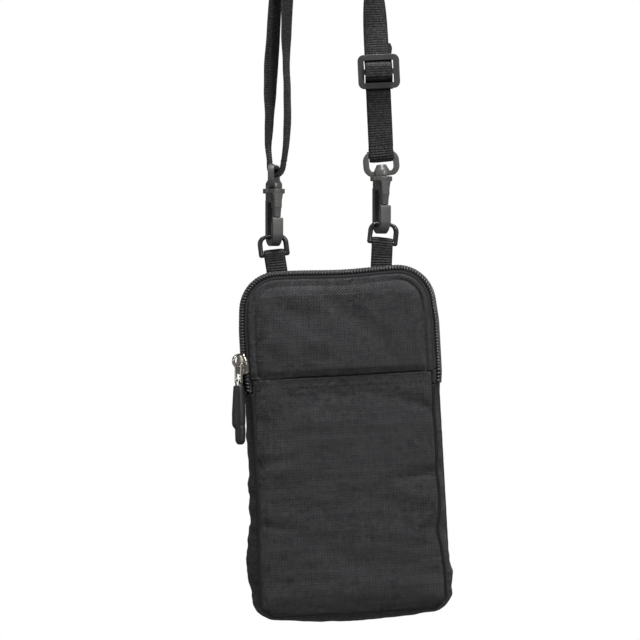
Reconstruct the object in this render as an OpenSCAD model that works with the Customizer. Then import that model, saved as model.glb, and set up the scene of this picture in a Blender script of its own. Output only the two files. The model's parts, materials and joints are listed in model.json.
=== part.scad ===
// Phone pouch that hangs on a webbing strap.
// X runs to the right and Y away from the viewer, with Z up.
// The origin is where the strap rests on whatever carries it.

/* [Pouch] */
// Width of the pouch
pouch_w = 101; // [85:1:140]
// Height of the pouch
pouch_h = 180; // [140:1:220]
// Depth of the pouch from front panel to back panel
pouch_d = 24; // [20:1:40]
// Radius of the top corners
top_r = 20; // [14:1:30]
// Radius of the bottom corners
bottom_r = 9; // [6:1:20]
// Lean of the hanging pouch in degrees
pouch_lean = 3.2; // [0:0.1:8]
// Thickness of the outer fabric
fabric_t = 1; // [0.6:0.1:1.5]
// Thickness of the padding
foam_t = 3; // [1:0.5:4]
// Thickness of the lining
lining_t = 0.5; // [0.3:0.1:1]
// Thickness of the gusset with its padding
gusset_t = 1.2; // [0.8:0.1:2]
// Outward bulge of the lower gusset
gusset_bulge = 1.2; // [0:0.1:3]
// Distance of the front seam inside the outline
seam_in = 3.9; // [3:0.1:6]
// Radius of the piping along the front seam
piping_r = 0.7; // [0.4:0.1:1.2]
// Width of the binding along the back seam
binding_w = 1.6; // [1:0.1:3]
// Depth of the binding along the back seam
binding_d = 2.2; // [1:0.1:4]

/* [Front] */
// Height of the fold line of the front flap above the middle
fold_z = 35.4; // [20:0.2:50]
// Height of the pocket mouth above the middle
pocket_top = 34.4; // [10:0.2:45]
// Depth of the flat slip pocket
pocket_gap = 1.4; // [0.6:0.1:3]
// Thickness of the pocket panel
pocket_t = 0.8; // [0.5:0.1:1.2]
// Width of the sewn edge of the pocket
pocket_seam = 1.6; // [1:0.1:4]
// Height of the hem at the pocket mouth
hem_h = 5; // [3:0.5:12]
// Extra thickness of the hem
hem_t = 0.5; // [0.3:0.1:1]
// Radius of the ridge that frames the flap
ridge_r = 1.6; // [0.8:0.1:2.5]
// Distance of the ridge inside the outline
ridge_in = 9.5; // [8:0.1:14]

/* [Zip] */
// Width of the zip band seen from the front
zip_band = 5.4; // [5:0.1:8]
// Distance of the zip's middle inside the outline
zip_in = 3.4; // [3:0.1:4]
// Distance of the zip's middle behind the front
zip_back = 3; // [2.5:0.1:4]
// Height of the zip ends above the middle
zip_end = 28; // [10:0.5:34]
// Half the visible width of the zip tape
tape_half = 2.6; // [2.2:0.1:3.5]
// Thickness of the zip tape
tape_t = 0.6; // [0.4:0.05:1]
// Half the slit between the two tapes
tape_slit = 0.2; // [0.1:0.05:0.5]
// Width of the tape that is sewn under the panel
tape_sewn = 3; // [2:0.1:5]
// Distance from tooth to tooth
tooth_pitch = 1.5; // [1.2:0.1:2]
// Width of a tooth along the zip
tooth_w = 0.64; // [0.4:0.02:0.8]
// Height of a tooth above the tape
tooth_h = 1.8; // [1:0.1:2.5]
// Reach of a tooth past the middle
tooth_tip = 0.55; // [0.3:0.05:0.8]
// Reach of a tooth back over its tape
tooth_root = 1.6; // [1.2:0.05:2]
// Gap that the open zip has on each side below the slider
zip_spread = 1.5; // [1.2:0.1:2]
// Height of the slider above the middle
slider_z = 45.5; // [43:0.5:50]

/* [Slider] */
// Length of the slider along the zip
slider_l = 13; // [10:0.5:16]
// Half width of the slider at its narrow end
slider_narrow = 3.2; // [3:0.1:4]
// Half width of the slider at its wide end
slider_wide = 4; // [3.8:0.1:4.6]
// Thickness of the slider plates
slider_plate = 1.1; // [0.8:0.1:1.5]
// Height of the bail over the slider
bail_h = 4.8; // [3:0.1:6]
// Length of the bail along the zip
bail_l = 7.4; // [6:0.1:9]
// Width of the bail
bail_w = 2; // [1.4:0.1:2.6]
// Thickness of the bail's bridge
bail_t = 1.2; // [0.8:0.1:1.6]

/* [Puller] */
// Radius of the wire of the pull loop
link_r = 0.7; // [0.5:0.05:1]
// Distance between the two sides of the pull loop
link_w = 4.2; // [3.8:0.1:6]
// Height of the pull loop between its bars
link_h = 9.5; // [7:0.1:14]
// Outward lean of the hanging puller in degrees
pull_lean = 4.5; // [0:0.1:6]
// Width of the metal clip
clip_w = 2.6; // [2:0.1:3]
// Height of the metal clip
clip_h = 4.6; // [4:0.1:7]
// Wall of the metal clip
clip_t = 0.6; // [0.4:0.05:1]
// Length of the moulded grip
grip_l = 30; // [20:0.5:45]
// Width of the grip at its top
grip_w = 6; // [5:0.1:8]
// Width of the grip at its widest place
grip_wide = 6.8; // [6:0.1:9]
// Width of the grip's thin tip
grip_tip = 4.8; // [3:0.1:6]
// Thickness of the grip
grip_t = 3.6; // [2.5:0.1:4]

/* [Strap] */
// Width of the strap webbing
strap_w = 12.7; // [10:0.1:20]
// Thickness of the strap webbing
strap_t = 1.3; // [0.8:0.1:2]
// Drop of the loop from its top to the line through the hooks
strap_drop = 172; // [150:1:400]
// Inner radius of the strap's top arch
arch_r = 22; // [15:0.5:40]
// Height of the twisted length below the arch
twist_h = 46; // [30:1:80]
// Turn of the left strap from the front view in degrees
left_turn = 65; // [50:1:80]
// Greatest half gap between the two left strands
bow_gap = 4.9; // [3:0.1:7]
// Height of the widest place of the left loop over its eye
bow_h = 24; // [15:1:40]
// Height of the sewn lap between the left loop and the arch
lap_h = 12; // [8:0.5:20]

/* [Tabs] */
// Width of the two tabs on the pouch
tab_w = 11.6; // [9:0.1:14]
// Thickness of the tab webbing
tab_t = 1.3; // [0.8:0.1:1.6]
// Distance between the two tabs
tab_span = 55.9; // [40:0.1:70]
// Sideways shift of the tabs from the middle
tab_shift = -2.3; // [-8:0.1:8]
// Height of the D-ring bars over the pouch
tab_free = 9.25; // [8:0.1:14]
// Length of tab inside the pouch
tab_in = 6; // [3:0.5:12]
// Distance of the tabs behind the middle of the depth
tab_y = 1.5; // [0:0.1:6]
// Slope of the line through the two D-rings in degrees
rig_lean = 6.6; // [0:0.1:10]

/* [Rings] */
// Radius of the D-ring wire
ring_r = 1.1; // [0.8:0.05:1.5]
// Half width of the D-ring to the middle of its wire
ring_half = 7.1; // [6.5:0.1:9]
// Height of the D-ring from bar to bow
ring_h = 10.7; // [9:0.1:14]
// Radius of the bow's rounded shoulders
ring_bend = 4.4; // [3:0.1:5]

/* [Hooks] */
// Thickness of the hook
hook_t = 4.8; // [3:0.1:5]
// Thickness of the hook's spine and crook
hook_wall = 3.2; // [2:0.1:4]
// Inner radius of the crook
crook_r = 3.1; // [2.8:0.1:4]
// Height of the crook's middle over the ring's wire
crook_z = 1.3; // [1.2:0.05:1.5]
// Height of the hook's tip over the ring's wire
tip_h = 9.7; // [8:0.1:12]
// Height of the collar's top over the ring's wire
collar_z = 24.6; // [20:0.1:28]
// Radius of the collar
collar_r = 5.7; // [5:0.1:7]
// Height of the collar
collar_h = 2.3; // [1.5:0.1:4]
// Radius of the neck under the collar
neck_r = 4.6; // [4.4:0.1:5.5]
// Height of the neck
neck_h = 4.4; // [4:0.1:6]
// Half distance between the neck's two flats
neck_flat = 3.5; // [3.3:0.1:4.4]
// Turn of the hooks from the front view in degrees
hook_turn = -68; // [-90:1:-55]
// Thickness of the spring gate
gate_t = 1.5; // [1:0.1:2]
// Width of the spring gate
gate_w = 4.2; // [2.5:0.1:5]
// Radius of the gate's root
gate_root = 1; // [0.8:0.05:1.4]
// Height of the gate's root over the ring's wire
gate_z = 15.2; // [14:0.1:18]
// Height of the gate's end over the ring's wire
gate_end = 7; // [5:0.1:9]
// Distance of the gate from the hook's middle
gate_p = 3.3; // [3:0.1:4]

/* [Swivel eyes] */
// Radius of the swivel post
post_r = 1.5; // [1:0.1:2]
// Radius of the head inside the neck
head_r = 2.5; // [2:0.1:3]
// Height of the head inside the neck
head_h = 1.8; // [1:0.1:3]
// Radius of the boss in the eye at its foot
boss_r = 4.3; // [3:0.1:4.8]
// Radius of the boss at its top
boss_top = 2.4; // [1.5:0.1:3]
// Height of the boss over the eye's lower bar
boss_h = 3.4; // [1:0.1:3.6]
// Width of the eye
eye_w = 18; // [16:0.1:22]
// Height of the eye
eye_h = 12.7; // [12:0.1:20]
// Thickness of the eye
eye_t = 3; // [2:0.1:4]
// Radius of the eye's rounded corners
eye_r = 5; // [3:0.1:7]
// Side wall of the eye
eye_wall = 2.4; // [2:0.1:3]
// Turn of the left eye from the front view in degrees
eye_turn = 65; // [50:1:85]

/* [Adjuster] */
// Width of the adjuster
glide_w = 21.5; // [18:0.1:28]
// Height of the adjuster
glide_h = 17.5; // [14:0.1:22]
// Thickness of the adjuster
glide_t = 3; // [2:0.1:4]
// Height of the adjuster's top and bottom bars
glide_bar = 2.95; // [2:0.05:4]
// Height of the adjuster's middle bar
glide_mid = 2.6; // [2:0.1:4]
// Side wall of the adjuster
glide_wall = 3.2; // [2:0.1:4]
// Radius of the adjuster's corners
glide_r = 3.2; // [1:0.1:4]
// Height of the adjuster over the right eye's bar
glide_up = 42.5; // [30:0.5:60]
// Travel of the adjuster that the slack webbing leaves each way
glide_room = 18; // [10:1:25]
// Height of the loose tail over the adjuster's middle
tail_h = 14.5; // [11:0.5:20]

/* [Clearances] */
// Gap between pieces that move past each other
gap = 0.3; // [0.2:0.05:0.5]
// Gap between close-fitting moulded pieces
fit_gap = 0.1; // [0.05:0.01:0.2]
// Amount that cutters run past a face
over = 1; // [0.5:0.1:2]

/* [Hidden] */
$fn = 48;
front_y = -pouch_d / 2;
back_y = pouch_d / 2;
top_x = pouch_w / 2 - top_r;
top_z = pouch_h / 2 - top_r;
base_x = pouch_w / 2 - bottom_r;
base_z = pouch_h / 2 - bottom_r;
zip_r = top_r - zip_in;
zip_y = front_y + zip_back;
tape_y = front_y + fabric_t;
stop_h = 2 * tooth_w;
teeth_end = zip_end + stop_h + fit_gap;
bar_up = pouch_h / 2 + tab_free;
bar_x = ring_h * sin(rig_lean);
bar_z = -strap_drop - ring_h * cos(rig_lean);
pouch_x = bar_x - tab_shift * cos(pouch_lean) + bar_up * sin(pouch_lean);
pouch_z = bar_z - tab_shift * sin(pouch_lean) - bar_up * cos(pouch_lean);
hook_x = tab_span / 2 * cos(rig_lean);
hook_rise = tab_span / 2 * sin(rig_lean);
eye_up = collar_z + gap + eye_h - eye_t / 2;
arch_mid = arch_r + strap_t / 2;
strand_y = eye_t / 2 + fit_gap + strap_t / 2;
root_y = -(strand_y + strap_t / 2 + fit_gap + glide_t / 2);
slot_h = (glide_h - 2 * glide_bar - glide_mid) / 2;
loop_h = side_len(-1) - lap_h;

// Heights of the eyes and the lean of each strap side, from tangents to the arch.
function side_eye_z(side) = -strap_drop + side * hook_rise + eye_up;
function arch_drop(side) = -arch_r - side_eye_z(side);
function side_reach(side) = sqrt(pow(hook_x, 2) + pow(arch_drop(side), 2));
function side_lean(side) =
    acos(arch_mid / side_reach(side)) - atan2(arch_drop(side), hook_x);
function side_len(side) = sqrt(pow(side_reach(side), 2) - pow(arch_mid, 2));
function ease(t) = t <= 0 ? 0 : t >= 1 ? 1 : t * t * (3 - 2 * t);
function mix(a, b, t) = a + (b - a) * t;

// Half gap of the left loop at a height over its eye.
function bow(s) = mix(strand_y, bow_gap, ease(s / bow_h))
    - (bow_gap - strap_t / 2) * pow(max(0, (s - bow_h) / (loop_h - bow_h)), 3);

module place_rig() {
    translate([0, 0, -strap_drop])
        rotate([0, -rig_lean, 0])
            children();
}

module place_pouch() {
    translate([pouch_x, -tab_y, pouch_z])
        rotate([0, -pouch_lean, 0])
            children();
}

module place_hook(side) {
    translate([side * hook_x, 0, -strap_drop + side * hook_rise])
        children();
}

// A side of the strap, with its own Z running up along the webbing.
module place_side(side) {
    translate([side * hook_x, 0, side_eye_z(side)])
        rotate([0, -side * side_lean(side), 0])
            children();
}

// Stands a flat outline up and gives it a front and a back.
module slab(y0, y1) {
    translate([0, y1, 0])
        rotate([90, 0, 0])
            linear_extrude(height = y1 - y0)
                children();
}

// Upper outline moved out by e, from z0 up.
module arch_plate(e, z0) {
    translate([-top_x - top_r - e, z0])
        square([2 * (top_x + top_r + e), top_z - z0]);
    translate([-top_x, z0])
        square([2 * top_x, top_z + top_r + e - z0]);
    for (side = [-1, 1])
        translate([side * top_x, top_z])
            circle(r = top_r + e);
}

// Lower outline moved out by e, up to z1.
module base_plate(e, z1) {
    translate([-base_x - bottom_r - e, -base_z])
        square([2 * (base_x + bottom_r + e), z1 + base_z]);
    translate([-base_x, -base_z - bottom_r - e])
        square([2 * base_x, z1 + base_z + bottom_r + e]);
    for (side = [-1, 1])
        translate([side * base_x, -base_z])
            circle(r = bottom_r + e);
}

// Carries a profile in (distance outside the outline, depth) over the top.
module arch_sweep(z0) {
    for (side = [0, 1])
        mirror([side, 0, 0]) {
            translate([top_x, 0, z0])
                linear_extrude(height = top_z - z0)
                    translate([top_r, 0])
                        children();
            translate([top_x, 0, top_z])
                rotate([-90, 0, 0])
                    rotate([0, 0, -90])
                        rotate_extrude(angle = 90)
                            translate([top_r, 0])
                                children();
        }
    translate([0, 0, top_z])
        rotate([0, -90, 0])
            linear_extrude(height = 2 * top_x, center = true)
                translate([top_r, 0])
                    children();
}

// Carries the same kind of profile down the sides and under the bottom.
module base_sweep(z1) {
    for (side = [0, 1])
        mirror([side, 0, 0]) {
            translate([base_x, 0, -base_z])
                linear_extrude(height = z1 + base_z)
                    translate([bottom_r, 0])
                        children();
            translate([base_x, 0, -base_z])
                rotate([-90, 0, 0])
                    rotate_extrude(angle = 90)
                        translate([bottom_r, 0])
                            children();
        }
    translate([0, 0, -base_z])
        rotate([0, 90, 0])
            linear_extrude(height = 2 * base_x, center = true)
                translate([bottom_r, 0])
                    children();
}

// Slots that let the two tabs through the gusset.
module tab_slots() {
    for (side = [-1, 1])
        tab_at(side)
            translate([0, 0, -tab_free / 2 - tab_in])
                cube([tab_w, 2 * tab_t + 2 * ring_r + 2 * fit_gap,
                    tab_free + 2 * tab_in], center = true);
}

// A tab's place, in the pouch's frame, with its bar at the origin.
module tab_at(side) {
    translate([tab_shift, tab_y, bar_up])
        rotate([0, pouch_lean - rig_lean, 0])
            translate([side * tab_span / 2, 0, 0])
                children();
}

module back_panel() {
    color("dimgray")
        place_pouch()
            slab(back_y - fabric_t, back_y) {
                arch_plate(-binding_w, 0);
                base_plate(-binding_w, 0);
            }
}

module back_padding() {
    color("gray")
        place_pouch()
            slab(back_y - fabric_t - foam_t, back_y - fabric_t) {
                arch_plate(-2 * gusset_t, 0);
                base_plate(-2 * gusset_t - gusset_bulge, 0);
            }
}

module back_lining() {
    color("silver")
        place_pouch()
            slab(back_y - fabric_t - foam_t - lining_t, back_y - fabric_t - foam_t) {
                arch_plate(-2 * gusset_t, 0);
                base_plate(-2 * gusset_t - gusset_bulge, 0);
            }
}

module binding_profile() {
    translate([-binding_w, back_y - fabric_t])
        square([binding_w, fabric_t]);
    translate([0, back_y - binding_d])
        square([gusset_t / 2, binding_d]);
}

module back_binding() {
    color("black")
        place_pouch() {
            arch_sweep(0)
                binding_profile();
            base_sweep(0)
                binding_profile();
        }
}

// The lower gusset swells outward at the middle of its depth.
module lower_gusset_profile() {
    back = back_y - fabric_t;
    third = pouch_d / 4;
    polygon([
        [-seam_in - gusset_t / 2, front_y + fabric_t],
        [-seam_in + gusset_t / 2, front_y + fabric_t],
        [0, -third],
        [gusset_bulge * 3 / 4, -third / 2],
        [gusset_bulge, 0],
        [gusset_bulge * 3 / 4, third / 2],
        [0, third],
        [0, back],
        [-gusset_t, back],
        [-gusset_t, third],
        [gusset_bulge - gusset_t, 0],
        [-gusset_t, -third]
    ]);
}

module lower_gusset() {
    color("dimgray")
        place_pouch()
            base_sweep(zip_end - gap)
                lower_gusset_profile();
}

module upper_gusset() {
    front = zip_y + tape_half * sin(45) + gap;
    color("dimgray")
        place_pouch()
            difference() {
                arch_sweep(zip_end)
                    translate([-gusset_t, front])
                        square([gusset_t, back_y - fabric_t - front]);
                tab_slots();
            }
}

module gusset_lining() {
    front = front_y + fabric_t + foam_t + lining_t;
    back = back_y - fabric_t - foam_t - lining_t;
    place_pouch()
        color("silver") {
            difference() {
                arch_sweep(zip_end)
                    translate([-2 * gusset_t - lining_t, front + 2 * gusset_t])
                        square([lining_t, back - front - 2 * gusset_t]);
                tab_slots();
            }
            base_sweep(zip_end)
                translate([-2 * gusset_t - lining_t, front])
                    square([lining_t, back - front]);
        }
}

module front_panel() {
    color("dimgray")
        place_pouch()
            slab(front_y, front_y + fabric_t) {
                base_plate(-seam_in, zip_end - gap);
                translate([-top_x - top_r + zip_band, 0])
                    square([2 * (top_x + top_r - zip_band), fold_z - gap]);
            }
}

module front_padding() {
    inside = seam_in + gusset_t;
    color("gray")
        place_pouch()
            slab(front_y + fabric_t, front_y + fabric_t + foam_t) {
                base_plate(-inside, zip_end - gap);
                translate([-top_x - top_r + zip_band + tape_sewn + gap, 0])
                    square([2 * (top_x + top_r - zip_band - tape_sewn - gap), fold_z - gap]);
            }
}

module front_lining() {
    front = front_y + fabric_t + foam_t;
    color("silver")
        place_pouch()
            slab(front, front + lining_t)
                base_plate(-2 * gusset_t - gusset_bulge, zip_end - gap);
}

module front_piping() {
    color("black")
        place_pouch()
            base_sweep(zip_end - gap)
                translate([-seam_in + piping_r, front_y + fabric_t / 4])
                    circle(r = piping_r);
}

// Pocket outline: the full lower front, narrower beside the zip ends.
module pocket_outline(e) {
    base_plate(-seam_in - fabric_t - e, zip_end - fabric_t);
    translate([-top_x - top_r + zip_band + fabric_t + e, 0])
        square([2 * (top_x + top_r - zip_band - fabric_t - e), pocket_top]);
}

module pocket_panel() {
    back = front_y - pocket_gap;
    color("dimgray")
        place_pouch() {
            slab(back - pocket_t, back)
                pocket_outline(0);
            difference() {
                slab(back - pocket_t, front_y)
                    pocket_outline(0);
                slab(back - pocket_t / 2, front_y + over)
                    pocket_outline(pocket_seam);
                translate([0, front_y, pocket_top])
                    cube([2 * (top_x + top_r - zip_band - fabric_t - pocket_seam),
                        pouch_d / 2, pocket_seam], center = true);
            }
        }
}

module pocket_hem() {
    back = front_y - pocket_gap - pocket_t;
    half = top_x + top_r - zip_band - fabric_t - pocket_seam;
    color("dimgray")
        place_pouch()
            slab(back - hem_t, back)
                translate([-half, pocket_top - hem_h])
                    square([2 * half, hem_h]);
}

module flap_panel() {
    color("dimgray")
        place_pouch()
            slab(front_y, front_y + fabric_t)
                arch_plate(-zip_band, fold_z);
}

module flap_padding() {
    color("gray")
        place_pouch()
            slab(front_y + fabric_t, front_y + fabric_t + foam_t)
                arch_plate(-zip_band - tape_sewn - gap, fold_z);
}

module flap_lining() {
    front = front_y + fabric_t + foam_t;
    color("silver")
        place_pouch()
            slab(front, front + lining_t)
                arch_plate(-zip_band - tape_sewn / 2, fold_z);
}

module flap_ridge() {
    color("dimgray")
        place_pouch()
            arch_sweep(fold_z)
                translate([-ridge_in, front_y])
                    difference() {
                        circle(r = ridge_r);
                        translate([-ridge_r, 0])
                            square([2 * ridge_r, ridge_r]);
                    }
}

// Zip frame at an angle round the corner: X points to the flap, Y outward.
module zip_corner(angle) {
    translate([top_x, 0, top_z])
        rotate([0, -angle, 0])
            translate([zip_r, zip_y, 0])
                rotate([0, 0, -135])
                    children();
}

// Zip frame on the side run, with its Z the height in the pouch.
module zip_run() {
    translate([top_x + zip_r, zip_y, 0])
        rotate([0, 0, -135])
            children();
}

// Tape from the slit to the flap, then flat under the panel.
module tape_profile(spread) {
    translate([-zip_in, zip_y])
        rotate(-135)
            translate([tape_slit + spread, -tape_t / 2])
                square([tape_half - tape_slit - spread, tape_t]);
    translate([-zip_band - tape_sewn, tape_y])
        square([tape_sewn + tape_half / 4, tape_t]);
}

// Tape from the slit back to the gusset, then flat on its inside.
module rear_tape_profile(spread) {
    back = zip_y + tape_half * sin(45);
    translate([-zip_in, zip_y])
        rotate(-135)
            translate([-tape_half - tape_t / 3, -tape_t / 2])
                square([tape_half + tape_t / 3 - tape_slit - spread, tape_t]);
    translate([-gusset_t - tape_t - fit_gap, back])
        square([tape_t, tape_sewn]);
}

// Toothed edge from z0 to z1, in the frame of the side run.
module comb(z0, z1, spread, phase) {
    count = round((z1 - z0) / tooth_pitch);
    step = (z1 - z0) / count;
    points = [for (i = [0:count - 1], p = [
        [spread + tooth_tip, 0], [spread - tooth_tip, 0],
        [spread - tooth_tip, 1], [spread + tooth_tip, 1]])
        [p[0], z0 + (i + phase) * step + (p[1] - 1 / 2) * tooth_w]];
    translate([0, tape_t / 2 + tooth_h, 0])
        rotate([90, 0, 0])
            linear_extrude(height = tooth_h)
                polygon(concat(points, [
                    [spread + tooth_root, z1], [spread + tooth_root, z0]]));
}

// Row of single teeth round the corner, each sunk into its own tape only.
module corner_teeth(phase, side) {
    count = round(PI / 2 * (zip_r + tooth_h / 2) / tooth_pitch);
    for (i = [0:count - 1])
        zip_corner((i + phase) * 90 / count)
            mirror([side, 0, 0]) {
                translate([-tooth_tip, tape_t / 2 + fit_gap / 2, -tooth_w / 2])
                    cube([tooth_tip + tooth_root, tooth_h - fit_gap / 2, tooth_w]);
                translate([2 * tape_slit, tape_t / 4, -tooth_w / 2])
                    cube([tooth_root - 2 * tape_slit, tape_t / 2, tooth_w]);
            }
}

module top_teeth(phase) {
    translate([0, 0, top_z])
        rotate([0, -90, 0])
            translate([zip_r, zip_y, 0])
                rotate([0, 0, -135])
                    comb(-top_x, top_x, 0, phase);
}

// Flap side of the zip, from the fold line over the top to the fold line.
module zip_front() {
    open_z = slider_z - fit_gap * 5;
    color("dimgray")
        place_pouch() {
            arch_sweep(open_z)
                tape_profile(0);
            for (side = [0, 1])
                mirror([side, 0, 0])
                    corner_teeth(1 / 4, 0);
            top_teeth(1 / 4);
            zip_run()
                comb(fold_z, top_z, 0, 1 / 4);
            translate([top_x, 0, fold_z])
                linear_extrude(height = open_z - fold_z)
                    translate([top_r, 0])
                        tape_profile(0);
            mirror([1, 0, 0]) {
                zip_run()
                    comb(open_z, top_z, 0, 1 / 4);
                zip_run()
                    comb(fold_z, open_z, zip_spread, 1 / 4);
                translate([top_x, 0, fold_z])
                    linear_extrude(height = open_z - fold_z)
                        translate([top_r, 0])
                            tape_profile(zip_spread);
            }
        }
}

// The last of the flap side, below the fold line.
module zip_front_end() {
    color("dimgray")
        place_pouch()
            for (side = [0, 1])
                mirror([side, 0, 0]) {
                    zip_run()
                        comb(teeth_end, fold_z - gap, side * zip_spread, 1 / 4);
                    translate([top_x, 0, zip_end])
                        linear_extrude(height = fold_z - gap - zip_end)
                            translate([top_r, 0])
                                tape_profile(side * zip_spread);
                }
}

module rear_teeth(z0, z1, spread) {
    zip_run()
        mirror([1, 0, 0])
            comb(z0, z1, spread, 3 / 4);
}

// Gusset side of the zip, whole from end to end.
module zip_rear() {
    open_z = slider_z - fit_gap * 5;
    color("dimgray")
        place_pouch() {
            arch_sweep(open_z)
                rear_tape_profile(0);
            translate([top_x, 0, zip_end])
                linear_extrude(height = open_z - zip_end)
                    translate([top_r, 0])
                        rear_tape_profile(0);
            rear_teeth(fold_z, top_z, 0);
            rear_teeth(teeth_end, fold_z - gap, 0);
            mirror([1, 0, 0]) {
                translate([top_x, 0, zip_end])
                    linear_extrude(height = open_z - zip_end)
                        translate([top_r, 0])
                            rear_tape_profile(zip_spread);
                rear_teeth(open_z, top_z, 0);
                rear_teeth(fold_z, open_z, zip_spread);
                rear_teeth(teeth_end, fold_z - gap, zip_spread);
            }
            for (side = [0, 1])
                mirror([side, 0, 0])
                    corner_teeth(3 / 4, 1);
            translate([0, 0, top_z])
                rotate([0, -90, 0])
                    translate([zip_r, zip_y, 0])
                        rotate([0, 0, -135])
                            mirror([1, 0, 0])
                                comb(-top_x, top_x, 0, 3 / 4);
        }
}

// A sewn bar closes the right end, and two small stops end the left side.
module zip_stops() {
    color("silver")
        place_pouch() {
            zip_run()
                translate([-tooth_root - gap, tape_t / 2, zip_end])
                    cube([2 * (tooth_root + gap), tooth_h, stop_h]);
            mirror([1, 0, 0])
                for (side = [0, 1])
                    zip_run()
                        mirror([side, 0, 0])
                            translate([zip_spread - tooth_tip, tape_t / 2, zip_end])
                                cube([2 * tooth_tip, tooth_h, stop_h]);
        }
}

// Slider frame: X across the zip, Y outward from it, Z up along it.
module slider_at() {
    place_pouch()
        mirror([1, 0, 0])
            zip_run()
                translate([0, 0, slider_z])
                    children();
}

module slider_outline() {
    half = slider_l / 2;
    polygon([
        [-slider_narrow, half], [-slider_narrow, half / 2],
        [-slider_wide, 0], [-slider_wide, -half * 2 / 3],
        [-slider_wide / 2, -half], [slider_wide / 2, -half],
        [slider_wide, -half * 2 / 3], [slider_wide, 0],
        [slider_narrow, half / 2], [slider_narrow, half]
    ]);
}

// The channel that the two rows of teeth run through.
module slider_channel() {
    half = slider_l / 2;
    shut = tooth_root + gap;
    wide = tooth_root + zip_spread + gap / 2;
    polygon([
        [-shut, half + over], [-shut, half / 2], [-wide, gap], [-wide, -half - over],
        [wide, -half - over], [wide, gap], [shut, half / 2], [shut, half + over]
    ]);
}

module zip_slider() {
    floor_y = -tape_t / 2 - gap;
    roof_y = tape_t / 2 + tooth_h + gap;
    half = slider_l / 2;
    plate = slider_plate;
    bail_z = -bail_l / 2 + bail_t / 2;
    color("silver")
        slider_at() {
            difference() {
                slab(tape_t / 2 + 4 * gap, roof_y + plate)
                    slider_outline();
                slab(0, roof_y)
                    slider_channel();
            }
            slab(floor_y - plate, floor_y)
                intersection() {
                    slider_outline();
                    square([2 * (tape_half - gap), slider_l], center = true);
                }
            translate([-plate / 2, floor_y, -half + plate])
                cube([plate, roof_y - floor_y, half / 2]);
            for (z = [bail_z - bail_t / 2, bail_z + bail_l - 3 / 2 * bail_t])
                translate([-bail_w / 2, roof_y + plate, z])
                    cube([bail_w, bail_h - bail_t, bail_t]);
            translate([-bail_w / 2, roof_y + plate + bail_h - bail_t, bail_z - bail_t / 2])
                cube([bail_w, bail_t, bail_l]);
        }
}

// Pull frame: the top bar of the pull loop, with its Z up along the hanging pull.
module pull_at() {
    roof_y = tape_t / 2 + tooth_h + gap + slider_plate;
    slider_at()
        translate([0, roof_y + bail_h - bail_t - link_r - fit_gap,
            -bail_l / 2 + bail_t + link_r + fit_gap])
            rotate([pull_lean, 0, 0])
                children();
}

// A closed wire loop through the bail.
module pull_loop() {
    color("silver")
        pull_at() {
            for (z = [0, -link_h])
                translate([0, 0, z])
                    rotate([0, 90, 0])
                        cylinder(r = link_r, h = link_w, center = true);
            for (x = [-link_w / 2, link_w / 2])
                translate([x, 0, -link_h])
                    cylinder(r = link_r, h = link_h);
            for (x = [-link_w / 2, link_w / 2], z = [0, -link_h])
                translate([x, 0, z])
                    sphere(r = link_r);
        }
}

// A folded strip round the loop's lower bar, closed in the grip.
module puller_clip() {
    inner = link_r + fit_gap;
    outer = inner + clip_t;
    color("silver")
        pull_at()
            translate([0, 0, -link_h])
                difference() {
                    union() {
                        rotate([0, 90, 0])
                            cylinder(r = outer, h = clip_w, center = true);
                        translate([-clip_w / 2, -outer, -clip_h])
                            cube([clip_w, 2 * outer, clip_h]);
                    }
                    rotate([0, 90, 0])
                        cylinder(r = inner, h = clip_w + 2 * over, center = true);
                    translate([-clip_w / 2 - over, -inner, -clip_h + clip_t])
                        cube([clip_w + 2 * over, 2 * inner, clip_h - clip_t]);
                }
}

// A moulded grip that swells, then steps in to a thin rounded tip.
module puller_grip() {
    wrap = link_r + fit_gap + clip_t;
    top = -link_h - wrap - gap;
    socket = clip_h - wrap - gap;
    waist = grip_l * 3 / 4;
    tip = grip_tip / 2;
    color("black")
        pull_at()
            difference() {
                union() {
                    translate([0, grip_t / 2, top - waist])
                        rotate([90, 0, 0])
                            linear_extrude(height = grip_t)
                                polygon([
                                    [-grip_w / 2, waist], [-grip_wide / 2, waist * 2 / 5],
                                    [-grip_wide / 2, waist / 6], [-tip, 0],
                                    [tip, 0], [grip_wide / 2, waist / 6],
                                    [grip_wide / 2, waist * 2 / 5], [grip_w / 2, waist]
                                ]);
                    translate([-tip, -grip_t / 2 + gap, top - grip_l + tip])
                        cube([grip_tip, grip_t - 2 * gap, grip_l - waist - tip]);
                    translate([0, 0, top - grip_l + tip])
                        rotate([90, 0, 0])
                            cylinder(r = tip, h = grip_t - 2 * gap, center = true);
                }
                translate([-clip_w / 2, -wrap, top - socket])
                    cube([clip_w, 2 * wrap, socket + over]);
            }
}

// Webbing folded over a ring's bar and sewn into the top seam.
module tab(side) {
    inner = ring_r + fit_gap;
    outer = inner + tab_t;
    drop = tab_free + tab_in;
    color("dimgray")
        place_pouch()
            tab_at(side) {
                difference() {
                    union() {
                        rotate([0, 90, 0])
                            cylinder(r = outer, h = tab_w, center = true);
                        translate([-tab_w / 2, -outer, -drop])
                            cube([tab_w, 2 * outer, drop]);
                    }
                    rotate([0, 90, 0])
                        cylinder(r = inner, h = tab_w + 2 * over, center = true);
                    translate([-tab_w / 2 - over, -inner, -drop - over])
                        cube([tab_w + 2 * over, 2 * inner, drop + over]);
                }
            }
}

module tab_left() {
    tab(-1);
}

module tab_right() {
    tab(1);
}

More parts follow.
